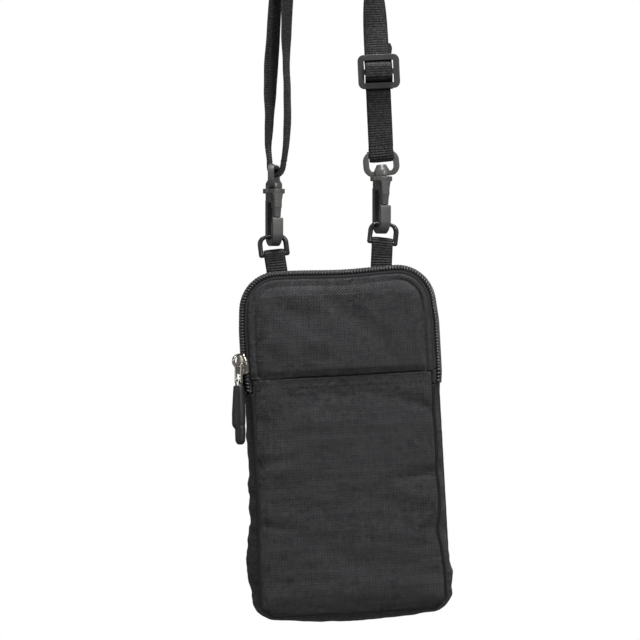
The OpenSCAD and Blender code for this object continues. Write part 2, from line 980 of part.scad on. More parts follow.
// A wire ring with a straight bar and a bow with rounded shoulders.
module d_ring(side) {
    flat = ring_half - ring_bend;
    color("black")
        place_rig()
            translate([side * tab_span / 2, 0, 0]) {
                rotate([0, 90, 0])
                    cylinder(r = ring_r, h = 2 * flat, center = true);
                for (turn = [0, 1])
                    mirror([turn, 0, 0]) {
                        translate([flat, 0, -ring_bend])
                            rotate([90, 0, 0])
                                rotate_extrude(angle = 90)
                                    translate([ring_bend, 0])
                                        circle(r = ring_r);
                        translate([ring_half, 0, -ring_h])
                            cylinder(r = ring_r, h = ring_h - ring_bend);
                        translate([ring_half, 0, -ring_h])
                            sphere(r = ring_r);
                    }
                translate([0, 0, -ring_h])
                    rotate([0, 90, 0])
                        cylinder(r = ring_r, h = 2 * ring_half, center = true);
            }
}

module d_ring_left() {
    d_ring(-1);
}

module d_ring_right() {
    d_ring(1);
}

// Side view of the snap hook: spine, crook, tip and the gate's shoulder.
module hook_profile() {
    outer = crook_r + hook_wall;
    neck_z = collar_z - collar_h - neck_h;
    lip = gate_p + gate_t / 2 + fit_gap;
    translate([-outer, crook_z])
        square([hook_wall, neck_z - crook_z + gap]);
    difference() {
        translate([0, crook_z])
            circle(r = outer);
        translate([0, crook_z])
            circle(r = crook_r);
        translate([-outer - over, crook_z])
            square([2 * (outer + over), outer + over]);
    }
    translate([crook_r, crook_z])
        square([hook_wall, gate_end - crook_z - gap]);
    translate([lip, gate_end - gap - over])
        square([outer - lip, tip_h - gate_end + gap + over - (outer - lip) / 2]);
    translate([lip + (outer - lip) / 2, tip_h - (outer - lip) / 2])
        circle(r = (outer - lip) / 2);
    translate([-outer, neck_z - gap])
        square([2 * outer, neck_h / 4]);
    translate([gate_p - gate_root - hook_wall / 4, gate_z - gap])
        square([outer - gate_p + gate_root + hook_wall / 4, neck_z - gate_z + gap]);
}

module hook(side) {
    neck_z = collar_z - collar_h - neck_h;
    cavity = head_h + 2 * gap;
    lip_z = collar_z - collar_h - gap * 3;
    color("black")
        place_hook(side)
            rotate([0, 0, hook_turn])
                difference() {
                    union() {
                        rotate([90, 0, 0])
                            linear_extrude(height = hook_t, center = true)
                                hook_profile();
                        intersection() {
                            translate([0, 0, neck_z])
                                cylinder(r = neck_r, h = neck_h);
                            translate([-neck_r, -neck_flat, neck_z - over])
                                cube([2 * neck_r, 2 * neck_flat, neck_h + 2 * over]);
                        }
                        translate([0, 0, collar_z - collar_h])
                            cylinder(r = collar_r, h = collar_h);
                    }
                    translate([gate_p, 0, gate_z])
                        rotate([90, 0, 0])
                            cylinder(r = gate_root + fit_gap, h = hook_t + 2 * over,
                                center = true);
                    translate([0, 0, lip_z - cavity])
                        cylinder(r = head_r + gap, h = cavity);
                    translate([0, 0, lip_z - gap])
                        cylinder(r = post_r + fit_gap, h = collar_h + over + gap * 4);
                }
}

module hook_left() {
    hook(-1);
}

module hook_right() {
    hook(1);
}

// The spring tongue that shuts the crook from inside.
module gate(side) {
    reach = gate_z - gate_end;
    color("black")
        place_hook(side)
            rotate([0, 0, hook_turn])
                translate([gate_p, 0, gate_z])
                    rotate([90, 0, 0])
                        linear_extrude(height = gate_w, center = true) {
                            circle(r = gate_root);
                            translate([-gate_t / 2, -reach])
                                square([gate_t, reach]);
                        }
}

module gate_left() {
    gate(-1);
}

module gate_right() {
    gate(1);
}

// A flat loop with a boss, on a headed post that turns in the hook's collar.
module eye(side, turn) {
    base = collar_z + gap;
    lip_z = collar_z - collar_h - gap * 3;
    half = eye_w / 2;
    inner_h = eye_h - eye_t - eye_wall;
    color("black")
        place_hook(side)
            rotate([0, 0, turn]) {
                difference() {
                    translate([0, eye_t / 2, base])
                        rotate([90, 0, 0])
                            linear_extrude(height = eye_t)
                                eye_outline(half, eye_h, eye_r);
                    translate([0, eye_t, base + eye_wall])
                        rotate([90, 0, 0])
                            linear_extrude(height = 2 * eye_t)
                                eye_outline(half - eye_wall, inner_h + eye_t / 2, eye_r / 2);
                    translate([0, 0, base + eye_h - eye_t / 2])
                        cube([2 * (half - eye_wall), 2 * eye_t, eye_t + fit_gap], center = true);
                }
                translate([0, 0, base + eye_h - eye_t / 2])
                    rotate([0, 90, 0])
                        cylinder(r = eye_t / 2, h = 2 * (half - eye_wall), center = true);
                translate([0, 0, base])
                    cylinder(r = boss_r, h = eye_wall);
                translate([0, 0, base + eye_wall])
                    cylinder(r1 = boss_r, r2 = boss_top, h = boss_h);
                translate([0, 0, lip_z - gap - head_h])
                    cylinder(r = head_r, h = head_h);
                translate([0, 0, lip_z - gap - head_h])
                    cylinder(r = post_r, h = base - lip_z + gap + head_h + eye_wall / 2);
            }
}

module eye_outline(half, height, corner) {
    translate([-half, corner])
        square([2 * half, height - 2 * corner]);
    translate([corner - half, 0])
        square([2 * (half - corner), height]);
    for (x = [corner - half, half - corner], z = [corner, height - corner])
        translate([x, z])
            circle(r = corner);
}

module eye_left() {
    eye(-1, eye_turn);
}

module eye_right() {
    eye(1, 0);
}

// The fold of the webbing under an eye's bar.
module bend(side, turn) {
    inner = strand_y - strap_t / 2;
    color("dimgray")
        translate([side * hook_x, 0, side_eye_z(side)])
            rotate([0, 0, turn]) {
                rotate([90, 0, 90])
                    rotate([0, 0, 180])
                        translate([0, 0, -strap_w / 2])
                            rotate_extrude(angle = 180)
                                translate([inner, 0])
                                    square([strap_t, strap_w]);
                for (y = [-strand_y, strand_y])
                    translate([-strap_w / 2, y - strap_t / 2, 0])
                        cube([strap_w, strap_t, eye_t]);
            }
}

module bend_left() {
    bend(-1, left_turn);
}

module bend_right() {
    bend(1, 0);
}

module place_glide() {
    place_side(1)
        translate([0, root_y, glide_up])
            children();
}

// Three-bar adjuster with rounded corners and bars.
module adjuster() {
    color("black")
        place_glide()
            difference() {
                slab(-glide_t / 2, glide_t / 2)
                    translate([0, -glide_h / 2])
                        eye_outline(glide_w / 2, glide_h, glide_r);
                for (side = [-1, 1])
                    translate([0, 0, side * (glide_mid + slot_h) / 2])
                        cube([glide_w - 2 * glide_wall, glide_t + 2 * over, slot_h],
                            center = true);
            }
}

// Front strand: behind the outer bars, and over the sewn loop on the middle bar.
module strap_weave() {
    half = strap_t / 2;
    lay = -root_y - strand_y;
    crest = -glide_t / 2 - 2 * fit_gap - strap_t - half;
    knee = glide_h / 2 - glide_bar - 2 * gap;
    peak = glide_mid / 2 + strap_t + 2 * gap;
    ends = glide_h / 2 + gap;
    mitre = half * tan((90 - atan2(knee - peak, lay - crest)) / 2);
    color("dimgray")
        place_glide()
            rotate([90, 0, 90])
                linear_extrude(height = strap_w, center = true)
                    polygon([
                        [lay - half, -ends], [lay - half, -knee - mitre],
                        [crest - half, -peak - mitre], [crest - half, peak + mitre],
                        [lay - half, knee + mitre], [lay - half, ends],
                        [lay + half, ends], [lay + half, knee - mitre],
                        [crest + half, peak - mitre], [crest + half, -peak + mitre],
                        [lay + half, -knee + mitre], [lay + half, -ends]
                    ]);
}

// The sewn end of the strap, which holds the adjuster's middle bar.
module strap_end_loop() {
    inner = glide_mid / 2 + fit_gap;
    outer = inner + strap_t;
    near = -glide_t / 2 - fit_gap;
    far = -root_y + strand_y - strap_t / 2 - fit_gap;
    color("dimgray")
        place_glide()
            rotate([90, 0, 90])
                linear_extrude(height = strap_w, center = true)
                    polygon([
                        [far, -outer], [near - strap_t, -outer],
                        [near - strap_t, outer], [far, outer],
                        [far, inner], [near, inner], [near, -inner], [far, -inner]
                    ]);
}

// The strap's top, bent over whatever carries the pouch.
module strap_arch() {
    color("dimgray")
        translate([0, 0, -arch_r])
            rotate([90, 0, 0])
                rotate([0, 0, side_lean(1)])
                    rotate_extrude(angle = 180 - side_lean(1) - side_lean(-1))
                        translate([arch_r, -strap_w / 2])
                            square([strap_t, strap_w]);
}

// Quarter turn of the right side, from flat at the adjuster to edge on at the arch.
module strap_twist() {
    color("dimgray")
        place_side(1)
            translate([0, 0, side_len(1) - twist_h])
                linear_extrude(height = twist_h, twist = -90, slices = 20, $fn = 16)
                    square([strap_w, strap_t], center = true);
}

// Webbing that slants back from the adjuster to the twist.
module strap_slack() {
    z0 = glide_up + glide_h / 2 + 2 * gap;
    z1 = side_len(1) - twist_h;
    half = strap_t / 2;
    color("dimgray")
        place_side(1)
            rotate([90, 0, 90])
                linear_extrude(height = strap_w, center = true)
                    polygon([
                        [-strand_y - half, z0], [-strand_y + half, z0],
                        [half, z1], [-half, z1]
                    ]);
}

// Front strand between the right eye and the adjuster.
module strap_front() {
    z0 = eye_t + gap;
    z1 = glide_up - glide_h / 2 - 2 * gap;
    color("dimgray")
        place_side(1)
            translate([-strap_w / 2, -strand_y - strap_t / 2, z0])
                cube([strap_w, strap_t, z1 - z0]);
}

// Back strand from the right eye up to its cut tail above the adjuster.
module strap_return() {
    z0 = eye_t + gap;
    color("dimgray")
        place_side(1)
            translate([-strap_w / 2, strand_y - strap_t / 2, z0])
                cube([strap_w, strap_t, glide_up + tail_h - z0]);
}

// The two bowed strands of the left loop.
module strap_strands() {
    z0 = eye_t + gap;
    count = 30;
    half = strap_t / 2;
    heights = [for (i = [0:count]) z0 + (loop_h - z0) * i / count];
    color("dimgray")
        place_side(-1)
            rotate([0, 0, left_turn])
                for (side = [-1, 1])
                    rotate([90, 0, 90])
                        linear_extrude(height = strap_w, center = true)
                            polygon(concat(
                                [for (z = heights) [side * (bow(z) + half), z]],
                                [for (i = [count:-1:0])
                                    [side * (bow(heights[i]) - half), heights[i]]]));
}

// Both strands sewn together, turning edge on to meet the arch.
module strap_lap() {
    color("dimgray")
        place_side(-1)
            translate([0, 0, loop_h])
                rotate([0, 0, left_turn])
                    linear_extrude(height = lap_h,
                        twist = left_turn - 90, slices = 6, $fn = 16)
                        square([strap_w, 2 * strap_t], center = true);
}

back_panel();
back_padding();
back_lining();
back_binding();
lower_gusset();
upper_gusset();
gusset_lining();
front_panel();
front_padding();
front_lining();
front_piping();
pocket_panel();
pocket_hem();
flap_panel();
flap_padding();
flap_lining();
flap_ridge();
zip_front();
zip_rear();
zip_front_end();
zip_stops();
zip_slider();
pull_loop();
puller_clip();
puller_grip();
tab_left();
tab_right();
d_ring_left();
d_ring_right();
hook_left();
hook_right();
gate_left();
gate_right();
eye_left();
eye_right();
bend_left();
bend_right();
adjuster();
strap_weave();
strap_end_loop();
strap_arch();
strap_twist();
strap_slack();
strap_front();
strap_return();
strap_strands();
strap_lap();
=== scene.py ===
"""Phone pouch in charcoal ripstop with a round-top zip, on a strap with two snap hooks.

Each piece is built in the millimetres of the part that carries it, and its frame turns
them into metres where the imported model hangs.
"""

import json
import math

import bmesh
import bpy
from mathutils import Matrix, Vector, noise

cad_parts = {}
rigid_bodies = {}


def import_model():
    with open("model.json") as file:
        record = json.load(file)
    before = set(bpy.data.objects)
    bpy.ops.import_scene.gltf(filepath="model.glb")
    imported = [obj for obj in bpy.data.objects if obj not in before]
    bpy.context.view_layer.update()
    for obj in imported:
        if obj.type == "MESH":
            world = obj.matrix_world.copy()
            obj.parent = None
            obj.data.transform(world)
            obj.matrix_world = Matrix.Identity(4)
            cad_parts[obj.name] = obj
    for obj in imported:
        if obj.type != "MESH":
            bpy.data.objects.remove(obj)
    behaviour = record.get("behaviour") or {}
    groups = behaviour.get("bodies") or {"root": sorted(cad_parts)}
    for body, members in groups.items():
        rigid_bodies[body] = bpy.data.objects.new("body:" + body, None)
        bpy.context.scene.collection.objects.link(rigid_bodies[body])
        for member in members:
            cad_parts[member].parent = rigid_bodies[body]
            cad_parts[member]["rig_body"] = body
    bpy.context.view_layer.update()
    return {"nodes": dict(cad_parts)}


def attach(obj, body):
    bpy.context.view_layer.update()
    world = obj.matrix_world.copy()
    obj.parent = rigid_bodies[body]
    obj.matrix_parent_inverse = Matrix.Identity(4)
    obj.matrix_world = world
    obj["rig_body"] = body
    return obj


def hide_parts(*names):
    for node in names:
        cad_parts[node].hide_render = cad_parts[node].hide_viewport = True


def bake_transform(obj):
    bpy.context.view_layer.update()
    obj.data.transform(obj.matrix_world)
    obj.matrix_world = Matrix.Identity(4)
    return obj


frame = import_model()

# The studio. A long lens stands level with the pouch, a pale floor lies well below it, and
# broad soft lamps light it from the right, the left, above and behind.
def placed(name, data):
    made = bpy.data.objects.new(name, data)
    bpy.context.collection.objects.link(made)
    return made


camera = placed("camera", bpy.data.cameras.new("camera"))
camera.data.sensor_width = 36
camera.data.lens = 163.1
camera.data.clip_end = 20
camera.location = (-0.0039, -1.5, -0.2184)
camera.rotation_euler = (math.pi / 2, 0, 0)
bpy.context.scene.camera = camera
bpy.context.scene.view_settings.view_transform = "Standard"


def add_node(tree, kind, settings=None, sockets=None):
    """A new node. A socket among the values is linked, any other value is set."""
    made = tree.nodes.new(kind)
    for key, value in (settings or {}).items():
        setattr(made, key, value)
    for key, value in (sockets or {}).items():
        if isinstance(value, bpy.types.NodeSocket):
            tree.links.new(value, made.inputs[key])
        else:
            made.inputs[key].default_value = value
    return made


def soft_lamp(name, place, aim_z, size, watts):
    lamp = placed(name, bpy.data.lights.new(name, "AREA"))
    lamp.data.shape = "DISK"
    lamp.data.size = size
    lamp.data.energy = watts
    lamp.location = place
    turn = (Vector((0, 0, aim_z)) - Vector(place)).to_track_quat("-Z", "Y")
    lamp.rotation_euler = turn.to_euler()


soft_lamp("key_lamp", (0.85, -1.25, 0.5), -0.25, 0.4, 14)
soft_lamp("left_lamp", (-1.4, -0.3, 0.0), -0.2, 0.6, 2.4)
soft_lamp("top_lamp", (0.1, -0.4, 1.1), -0.2, 0.45, 24)
soft_lamp("back_lamp", (0.3, 1.6, 0.6), -0.2, 1.0, 6)


def show_white(tree, rays, own, white, end):
    """Gives the camera plain white, and every other ray the tree's own shader."""
    mix = add_node(tree, "ShaderNodeMixShader", None, {0: rays, 1: own, 2: white})
    tree.links.new(mix.outputs[0], tree.nodes[end].inputs["Surface"])


WHITE = (1, 1, 1, 1)
world = bpy.data.worlds.new("studio_white")
bpy.context.scene.world = world
world.use_nodes = True
sky = world.node_tree
around = sky.nodes["Background"]
around.inputs["Color"].default_value = WHITE
around.inputs["Strength"].default_value = 0.17
white = add_node(sky, "ShaderNodeBackground", None, {"Color": WHITE, "Strength": 1})
rays = add_node(sky, "ShaderNodeLightPath").outputs
seen = add_node(sky, "ShaderNodeMath", {"operation": "MAXIMUM"},
                {0: rays["Is Camera Ray"], 1: rays["Is Transmission Ray"]})
show_white(sky, seen.outputs[0], around.outputs[0], white.outputs[0], "World Output")

floor_mesh = bmesh.new()
bmesh.ops.create_circle(floor_mesh, cap_ends=True, segments=96, radius=0.75)
bmesh.ops.translate(floor_mesh, vec=(0, 0, -0.47), verts=floor_mesh.verts)
floor = placed("studio_floor", bpy.data.meshes.new("studio_floor"))
floor_mesh.to_mesh(floor.data)
floor_paint = bpy.data.materials.new("floor_white")
floor_paint.use_nodes = True
paint = floor_paint.node_tree
matt = paint.nodes["Principled BSDF"]
matt.inputs["Base Color"].default_value = (0.25, 0.25, 0.25, 1)
matt.inputs["Roughness"].default_value = 0.8
rays = add_node(paint, "ShaderNodeLightPath").outputs
show_white(paint, rays["Is Camera Ray"], matt.outputs[0],
           add_node(paint, "ShaderNodeEmission").outputs[0], "Material Output")
floor.data.materials.append(floor_paint)


# The back cover. One panel of padded ripstop, cut to the full outline of the pouch and sewn
# to the side walls all round; it swells a little over its foam.
class Reading:
    """A number on a material's socket. Arithmetic on it adds Math nodes."""

    def __init__(self, finish, socket):
        self.finish = finish
        self.socket = socket

    def apply(self, operation, *others):
        values = dict(enumerate((self, *others)))
        return self.finish.node("ShaderNodeMath", {"operation": operation}, values)

    def __add__(self, other):
        return self.apply("ADD", other)

    __radd__ = __add__

    def __sub__(self, other):
        return self.apply("SUBTRACT", other)

    def __rsub__(self, other):
        return (self * -1) + other

    def __mul__(self, other):
        return self.apply("MULTIPLY", other)

    __rmul__ = __mul__

    def __truediv__(self, other):
        return self.apply("DIVIDE", other)

    def __mod__(self, other):
        return self.apply("FLOORED_MODULO", other)

    def ripple(self, width=1.0):
        """Rounded ribs of one width."""
        return (self * (math.pi / width)).apply("SINE").apply("ABSOLUTE")


class Finish:
    """A material whose nodes are added one by one and joined by readings."""

    def __init__(self, name, roughness, colour, **steady):
        self.material = bpy.data.materials.new(name)
        self.material.use_nodes = True
        self.tree = self.material.node_tree
        self.surface = self.tree.nodes["Principled BSDF"]
        self.surface.inputs["Roughness"].default_value = roughness
        self.surface.inputs["Base Color"].default_value = (*colour, 1)
        for socket, value in steady.items():
            self.surface.inputs[socket.replace("_", " ")].default_value = value
        self.colour = colour

    def node(self, kind, settings=None, sockets=None, out=0):
        sockets = {key: getattr(value, "socket", value)
                   for key, value in (sockets or {}).items()}
        return Reading(self, add_node(self.tree, kind, settings, sockets).outputs[out])

    def on_cloth(self):
        """Distance across and along the cloth, in millimetres, from the piece's own map."""
        place = self.node("ShaderNodeUVMap", {"uv_map": "cloth"})
        parts = self.node("ShaderNodeSeparateXYZ", None, {0: place})
        return parts * 1000, Reading(self, parts.socket.node.outputs[1]) * 1000

    def in_space(self):
        return self.node("ShaderNodeTexCoord", None, None, "Object")

    def noise(self, place, size, detail=2.0, stretch=(1, 1, 1)):
        """Soft noise from 0 to 1 with features of a size in millimetres."""
        scaled = self.node("ShaderNodeMapping", None, {
            "Vector": place, "Scale": [1000 / size * s for s in stretch]})
        return self.node("ShaderNodeTexNoise", None, {
            "Vector": scaled, "Scale": 1.0, "Detail": detail}, "Fac")

    def speck(self, across, along):
        """A separate random number for each whole pair of the two readings."""
        cell = self.node("ShaderNodeCombineXYZ", None, {
            0: across.apply("FLOOR"), 1: along.apply("FLOOR")})
        return self.node("ShaderNodeTexWhiteNoise", {"noise_dimensions": "3D"}, {0: cell})

    def band(self, reading, low, high):
        """0 below low and 1 above high, with a smooth step between them."""
        return self.node("ShaderNodeMapRange", {"interpolation_type": "SMOOTHSTEP"}, {
            "Value": reading, "From Min": low, "From Max": high})

    def shade(self, factor, dark=0.6, light=1.4):
        """Base colour from dark to light times the finish's own colour."""
        tones = {0: factor, 6: [c * dark for c in self.colour] + [1],
                 7: [c * light for c in self.colour] + [1]}
        mixed = self.node("ShaderNodeMix", {"data_type": "RGBA"}, tones, 2)
        self.tree.links.new(mixed.socket, self.surface.inputs["Base Color"])

    def rough(self, reading):
        self.tree.links.new(reading.socket, self.surface.inputs["Roughness"])

    def relief(self, height, depth):
        """Bump of a depth in millimetres."""
        bump = self.node("ShaderNodeBump", None,
                         {"Height": height, "Distance": depth / 1000, "Strength": 1.0})
        self.tree.links.new(bump.socket, self.surface.inputs["Normal"])


def ripstop(name, colour, thread, grid):
    """Plain weave of coarse threads with a faint grid of heavier ones, and painted shade at
    the threads' edges.
    """
    cloth = Finish(name, 0.78, colour, Sheen_Weight=0.04, Sheen_Roughness=0.45,
                   Specular_IOR_Level=0.22)
    across, along = cloth.on_cloth()
    a, b = across / thread, along / thread
    odd = (a.apply("FLOOR") + b.apply("FLOOR")) % 2
    weave = a.ripple() * odd + b.ripple() * (1 - odd)
    lines = [cloth.band((reading / grid % 1 - 0.5).apply("ABSOLUTE"), 0.38, 0.5)
             for reading in (across, along)]
    cord = lines[0].apply("MAXIMUM", lines[1])
    glint = cloth.speck(a, b)
    cloudy = cloth.noise(cloth.in_space(), 26, 3)
    patchy = cloth.band(cloth.noise(cloth.in_space(), 7, 2), 0.35, 0.6)
    chequer = (odd * 1.7 - 0.85 + glint * 2.0 - 1.0) * (patchy * 0.65 + 0.35)
    # The weave term paints each thread lighter over its crown and darker at its edges: painted
    # shade between the threads.
    tone = 0.4 + chequer + weave * 0.12 - cord * 0.08 + (cloudy - 0.5) * 0.35
    cloth.shade(tone, 0.0, 2.7)
    cloth.rough(0.86 - weave * 0.18)
    cloth.relief(weave + cord * 0.8 + glint * 0.5, 0.13)
    return cloth.material


charcoal = ripstop("charcoal_ripstop", (0.027, 0.0255, 0.0272), 0.74, 2.96)
SHELL = (charcoal, "shell_fabric")

metres = Matrix.Scale(0.001, 4)


def turned(axis, degrees):
    return Matrix.Rotation(math.radians(degrees), 4, axis)


pouch_frame = metres @ Matrix.Translation((9.067, -1.5, -281.596)) @ turned("Y", -3.2)

HALF_W, HALF_H, TOP_R, BASE_R = 50.5, 90.0, 20.0, 9.0


def on_pouch(x, y, z):
    """Where a point of the pouch hangs: its top sags a little between the two tabs, and
    its sides bow out beside the zip."""
    sag = 1.0 * math.exp(-((x - 4) / 19) ** 2) * ease((z - 50) / 36)
    bow = (1.1 if x > 0 else -0.8) * abs(x / 50) ** 3
    bow *= ease((z - 22) / 14) * ease((74 - z) / 16)
    return pouch_frame @ Vector((x + bow, y, z - sag))


def half_width(z, inset):
    """Half width of the pouch's outline, moved in by inset, at a height."""
    corner = TOP_R if z > 0 else BASE_R
    radius = max(corner - inset, 0.5)
    over = min(max(abs(z) - HALF_H + corner, 0), radius)
    if not over:
        return HALF_W - inset
    return HALF_W - corner + math.sqrt(radius * radius - over * over)


def sides(inset):
    """Left and right side of a panel cut to the outline, by height."""
    return (lambda z: -half_width(z, inset)), (lambda z: half_width(z, inset))


def inside(x, z):
    """Distance from a point of the front to the outline."""
    corner = TOP_R if z > 0 else BASE_R
    dx, dz = abs(x) - HALF_W + corner, abs(z) - HALF_H + corner
    if dx > 0 and dz > 0:
        return corner - math.hypot(dx, dz)
    return min(HALF_W - abs(x), HALF_H - abs(z))


def heights(low, high, step, low_r=0.0, high_r=0.0, turns=16):
    """Heights of a panel's rows, close together where a rounded corner turns in."""
    arc = [math.sin(math.pi / 2 * i / turns) for i in range(1, turns + 1)]
    rows = [low + low_r * (1 - s) for s in reversed(arc)] if low_r else []
    count = max(1, round((high - high_r - low - low_r) / step))
    rows += [low + low_r + (high - high_r - low - low_r) * i / count
             for i in range(count + 1)]
    return rows + ([high - high_r + high_r * s for s in arc] if high_r else [])


def ease(t):
    t = min(max(t, 0.0), 1.0)
    return t * t * (3 - 2 * t)


def wave(x, y, z=0.0):
    return noise.noise(Vector((x, y, z)))


def mounted(name, mesh, body):
    """A piece with smooth faces, riding on a body."""
    mesh.polygons.foreach_set("use_smooth", [True] * len(mesh.polygons))
    piece = placed(name, mesh)
    if body:
        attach(piece, body)
    return piece


def add_piece(name, points, faces, cloth_map, finish, slot, body, close=True):
    """A mesh piece with its map in metres. A closed one has its normals turned outward."""
    mesh = bpy.data.meshes.new(name)
    mesh.from_pydata(points, [], faces)
    if close:
        shell = bmesh.new()
        shell.from_mesh(mesh)
        bmesh.ops.recalc_face_normals(shell, faces=shell.faces)
        shell.to_mesh(mesh)
        shell.free()
    layer = mesh.uv_layers.new(name="cloth")
    for loop in mesh.loops:
        u, v = cloth_map[loop.vertex_index]
        layer.data[loop.index].uv = (u / 1000, v / 1000)
    mesh.materials.append(finish)
    return mounted(name, mesh, body)


def grid_faces(rows, columns, first=0, flip=False):
    faces = []
    for i in range(rows - 1):
        for j in range(columns - 1):
            a = first + i * columns + j
            quad = (a, a + 1, a + columns + 1, a + columns)
            faces.append(quad[::-1] if flip else quad)
    return faces


def layered(name, rows, edge, left, right, front, back, finish, slot, body):
    """A closed panel of cloth. Each row has close columns near its sides, as edge lists
    them, and front and back give the depth of the two faces at (x, z)."""
    fill = 34
    columns = 2 * len(edge) + fill - 1
    points, cloth_map = [], []
    for face in (front, back):
        for z in rows:
            lo, hi = left(z), right(z)
            cut = min(edge[-1], (hi - lo) * 0.4)
            near = [lo + e * cut / edge[-1] for e in edge]
            far = [hi - e * cut / edge[-1] for e in reversed(edge)]
            middle = [near[-1] + (far[0] - near[-1]) * k / fill for k in range(1, fill)]
            for x in near + middle + far:
                points.append(on_pouch(x, face(x, z), z))
                cloth_map.append((x, z))
    count = len(rows) * columns
    faces = grid_faces(len(rows), columns)
    faces += grid_faces(len(rows), columns, count, True)
    last = len(rows) - 1
    border = list(range(columns))
    border += [i * columns + columns - 1 for i in range(1, last + 1)]
    border += [last * columns + j for j in range(columns - 2, -1, -1)]
    border += [i * columns for i in range(last - 1, 0, -1)]
    for a, b in zip(border, border[1:] + border[:1]):
        faces.append((a, a + count, b + count, b))
    return add_piece(name, points, faces, cloth_map, finish, slot, body)


fine_edge = [0, 0.35, 0.8, 1.3, 1.8, 2.3, 2.8, 3.3, 3.8, 4.3, 4.8, 5.4, 6.1, 7, 8.2, 9.6,
             11.2, 13]


def back_face(x, z):
    d = inside(x, z)
    swell = 1.5 * (1 - math.exp(-max(d - 1.2, 0) / 6))
    folds = 0.5 * wave(x / 34, z / 22, 3.0) + 0.22 * wave(x / 12, z / 7, 8.0)
    seam = 0.16 * wave(z / 3.2, x / 3.2, 1.7) * math.exp(-d / 5)
    return 11.9 + swell + (folds + seam) * min(1, d / 4)


back_cover = layered(
    "back_cover", heights(-88.8, 88.8, 1.6, BASE_R - 1.2, TOP_R - 1.2), fine_edge,
    *sides(1.2), back_face, lambda x, z: 10.6, *SHELL, "pouch")
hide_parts("back_panel")


# The side walls. One strip of lightly padded ripstop runs round the bottom from zip end to
# zip end, gathered so that it puckers between the seams, and a thin one runs over the top
# behind the zip.
def rim(over_top, start, step=1.2):
    """Points of the pouch's outline from the right side over the top, or under the
    bottom, to the left side: x, z, outward x, outward z and the length so far."""
    corner = TOP_R if over_top else BASE_R
    cx, cz = HALF_W - corner, HALF_H - corner
    up = 1 if over_top else -1
    side = max(2, round((cz - up * start) / step))
    bend = max(6, round(math.pi / 2 * corner / step))
    flat = round(2 * cx / step)
    line = [(HALF_W, start + (up * cz - start) * i / side, 1, 0) for i in range(side)]
    turn = [math.pi / 2 * i / bend for i in range(bend)]
    for middle, ways in ((cx, [(math.cos(a), math.sin(a)) for a in turn]),
                         (-cx, [(-math.sin(a), math.cos(a)) for a in turn])):
        line += [(middle + corner * nx, up * (cz + corner * nz), nx, up * nz)
                 for nx, nz in ways]
        if middle > 0:
            line += [(cx - 2 * cx * i / flat, up * HALF_H, 0, up) for i in range(flat)]
    line += [(-HALF_W, up * cz + (start - up * cz) * i / side, -1, 0)
             for i in range(side + 1)]
    length, out = 0.0, []
    for k, (x, z, nx, nz) in enumerate(line):
        if k:
            length += math.hypot(x - line[k - 1][0], z - line[k - 1][1])
        out.append((x, z, nx, nz, length))
    return out


def tube_faces(count, size, first=0):
    """Faces of a tube through rings of points, with both its ends capped."""
    faces = []
    for i in range(count - 1):
        for j in range(size):
            a, b = first + i * size + j, first + i * size + (j + 1) % size
            faces.append((a, b, b + size, a + size))
    faces.append(tuple(range(first, first + size)))
    faces.append(tuple(first + (count - 1) * size + j for j in range(size)))
    return faces


def swept(name, path, profile, finish, slot, body):
    """A closed tube of cloth. profile(point of the path) lists (outward, depth, map)."""
    points, cloth_map = [], []
    for point in path:
        x, z, nx, nz, length = point
        ring = profile(point)
        for out, y, u in ring:
            points.append(on_pouch(x + nx * out, y, z + nz * out))
            cloth_map.append((u, length))
    return add_piece(name, points, tube_faces(len(path), len(ring)), cloth_map, finish, slot,
                     body)


def steps(count, first=0):
    """Even steps up to 1."""
    return [k / count for k in range(first, count + 1)]


def through(knots, value):
    """Smooth line through knots of (place, height), level at each of them."""
    if value <= knots[0][0]:
        return knots[0][1]
    for (a, low), (b, high) in zip(knots, knots[1:]):
        if value <= b:
            return low + (high - low) * ease((value - a) / (b - a))
    return knots[-1][1]


# Lobes of the gathered wall: height on the pouch and how far it stands over the outline.
right_lobes = [(-90, -0.6), (-78, 0.2), (-69, 1.1), (-60, 0.2), (-53, -1.3), (-47.4, -3.3),
               (-42, -1.5), (-37, -1.2), (-32, -1.9), (-25, -0.6), (-19.5, -1.8),
               (-16.3, -3.1), (-10, -1.6), (-1, -0.9), (5, -0.9), (11.5, -2.3),
               (14.8, -3.3), (18, -1.9), (27.7, -0.1)]
left_lobes = [(-90, 0.6), (-82, 1.4), (-76, 2.1), (-67, 3.9), (-58, 3.6), (-48, 2.2),
              (-41, 1.4), (-38.7, 0.5), (-32, 1.2), (-20, 0.5), (-11, -0.4), (-2, 0.2),
              (8, 0.5), (14, -0.4), (27.7, 0.3)]


def lobe(point):
    x, z, nx, nz = point[:4]
    side = through(right_lobes if x > 0 else left_lobes, z)
    under = 2.1 - 2.9 * (x / 42) ** 2 + 0.2 * wave(x / 13, 4.0)
    return side * abs(nx) + under * abs(nz)


def strays(z):
    """How far the right front seam is pulled in by its gathers."""
    return (1.7 * math.exp(-((z + 47) / 7) ** 2) + 0.6 * math.exp(-((z + 16) / 5) ** 2)
            + 0.4 * math.exp(-((z - 14) / 5) ** 2) - 0.7 * ease((-58 - z) / 10))


def seam_in(point):
    """Distance from the outline to the front seam, wider on the left side and below."""
    x, z, nx, nz = point[:4]
    side = 3.9 + strays(z) if x > 0 else 4.1 - 1.2 * ease((-20 - z) / 45)
    return side * abs(nx) + 3.3 * abs(nz)


WALL_T, WALL_END, FRONT_Y = 1.0, 27.7, -11.9
wall_base = [(0, 1.0), (0.1, 0.52), (0.24, 0.13), (0.42, 0.0), (0.85, 0.05), (1, 0.12)]
wall_lobe = [(0, 0.0), (0.16, 0.45), (0.42, 1.0), (0.75, 0.75), (1, 0.0)]


def both_faces(outer):
    """A wall's profile, from the one of its outer face."""
    return outer + [(out - WALL_T, y, u) for out, y, u in reversed(outer)]


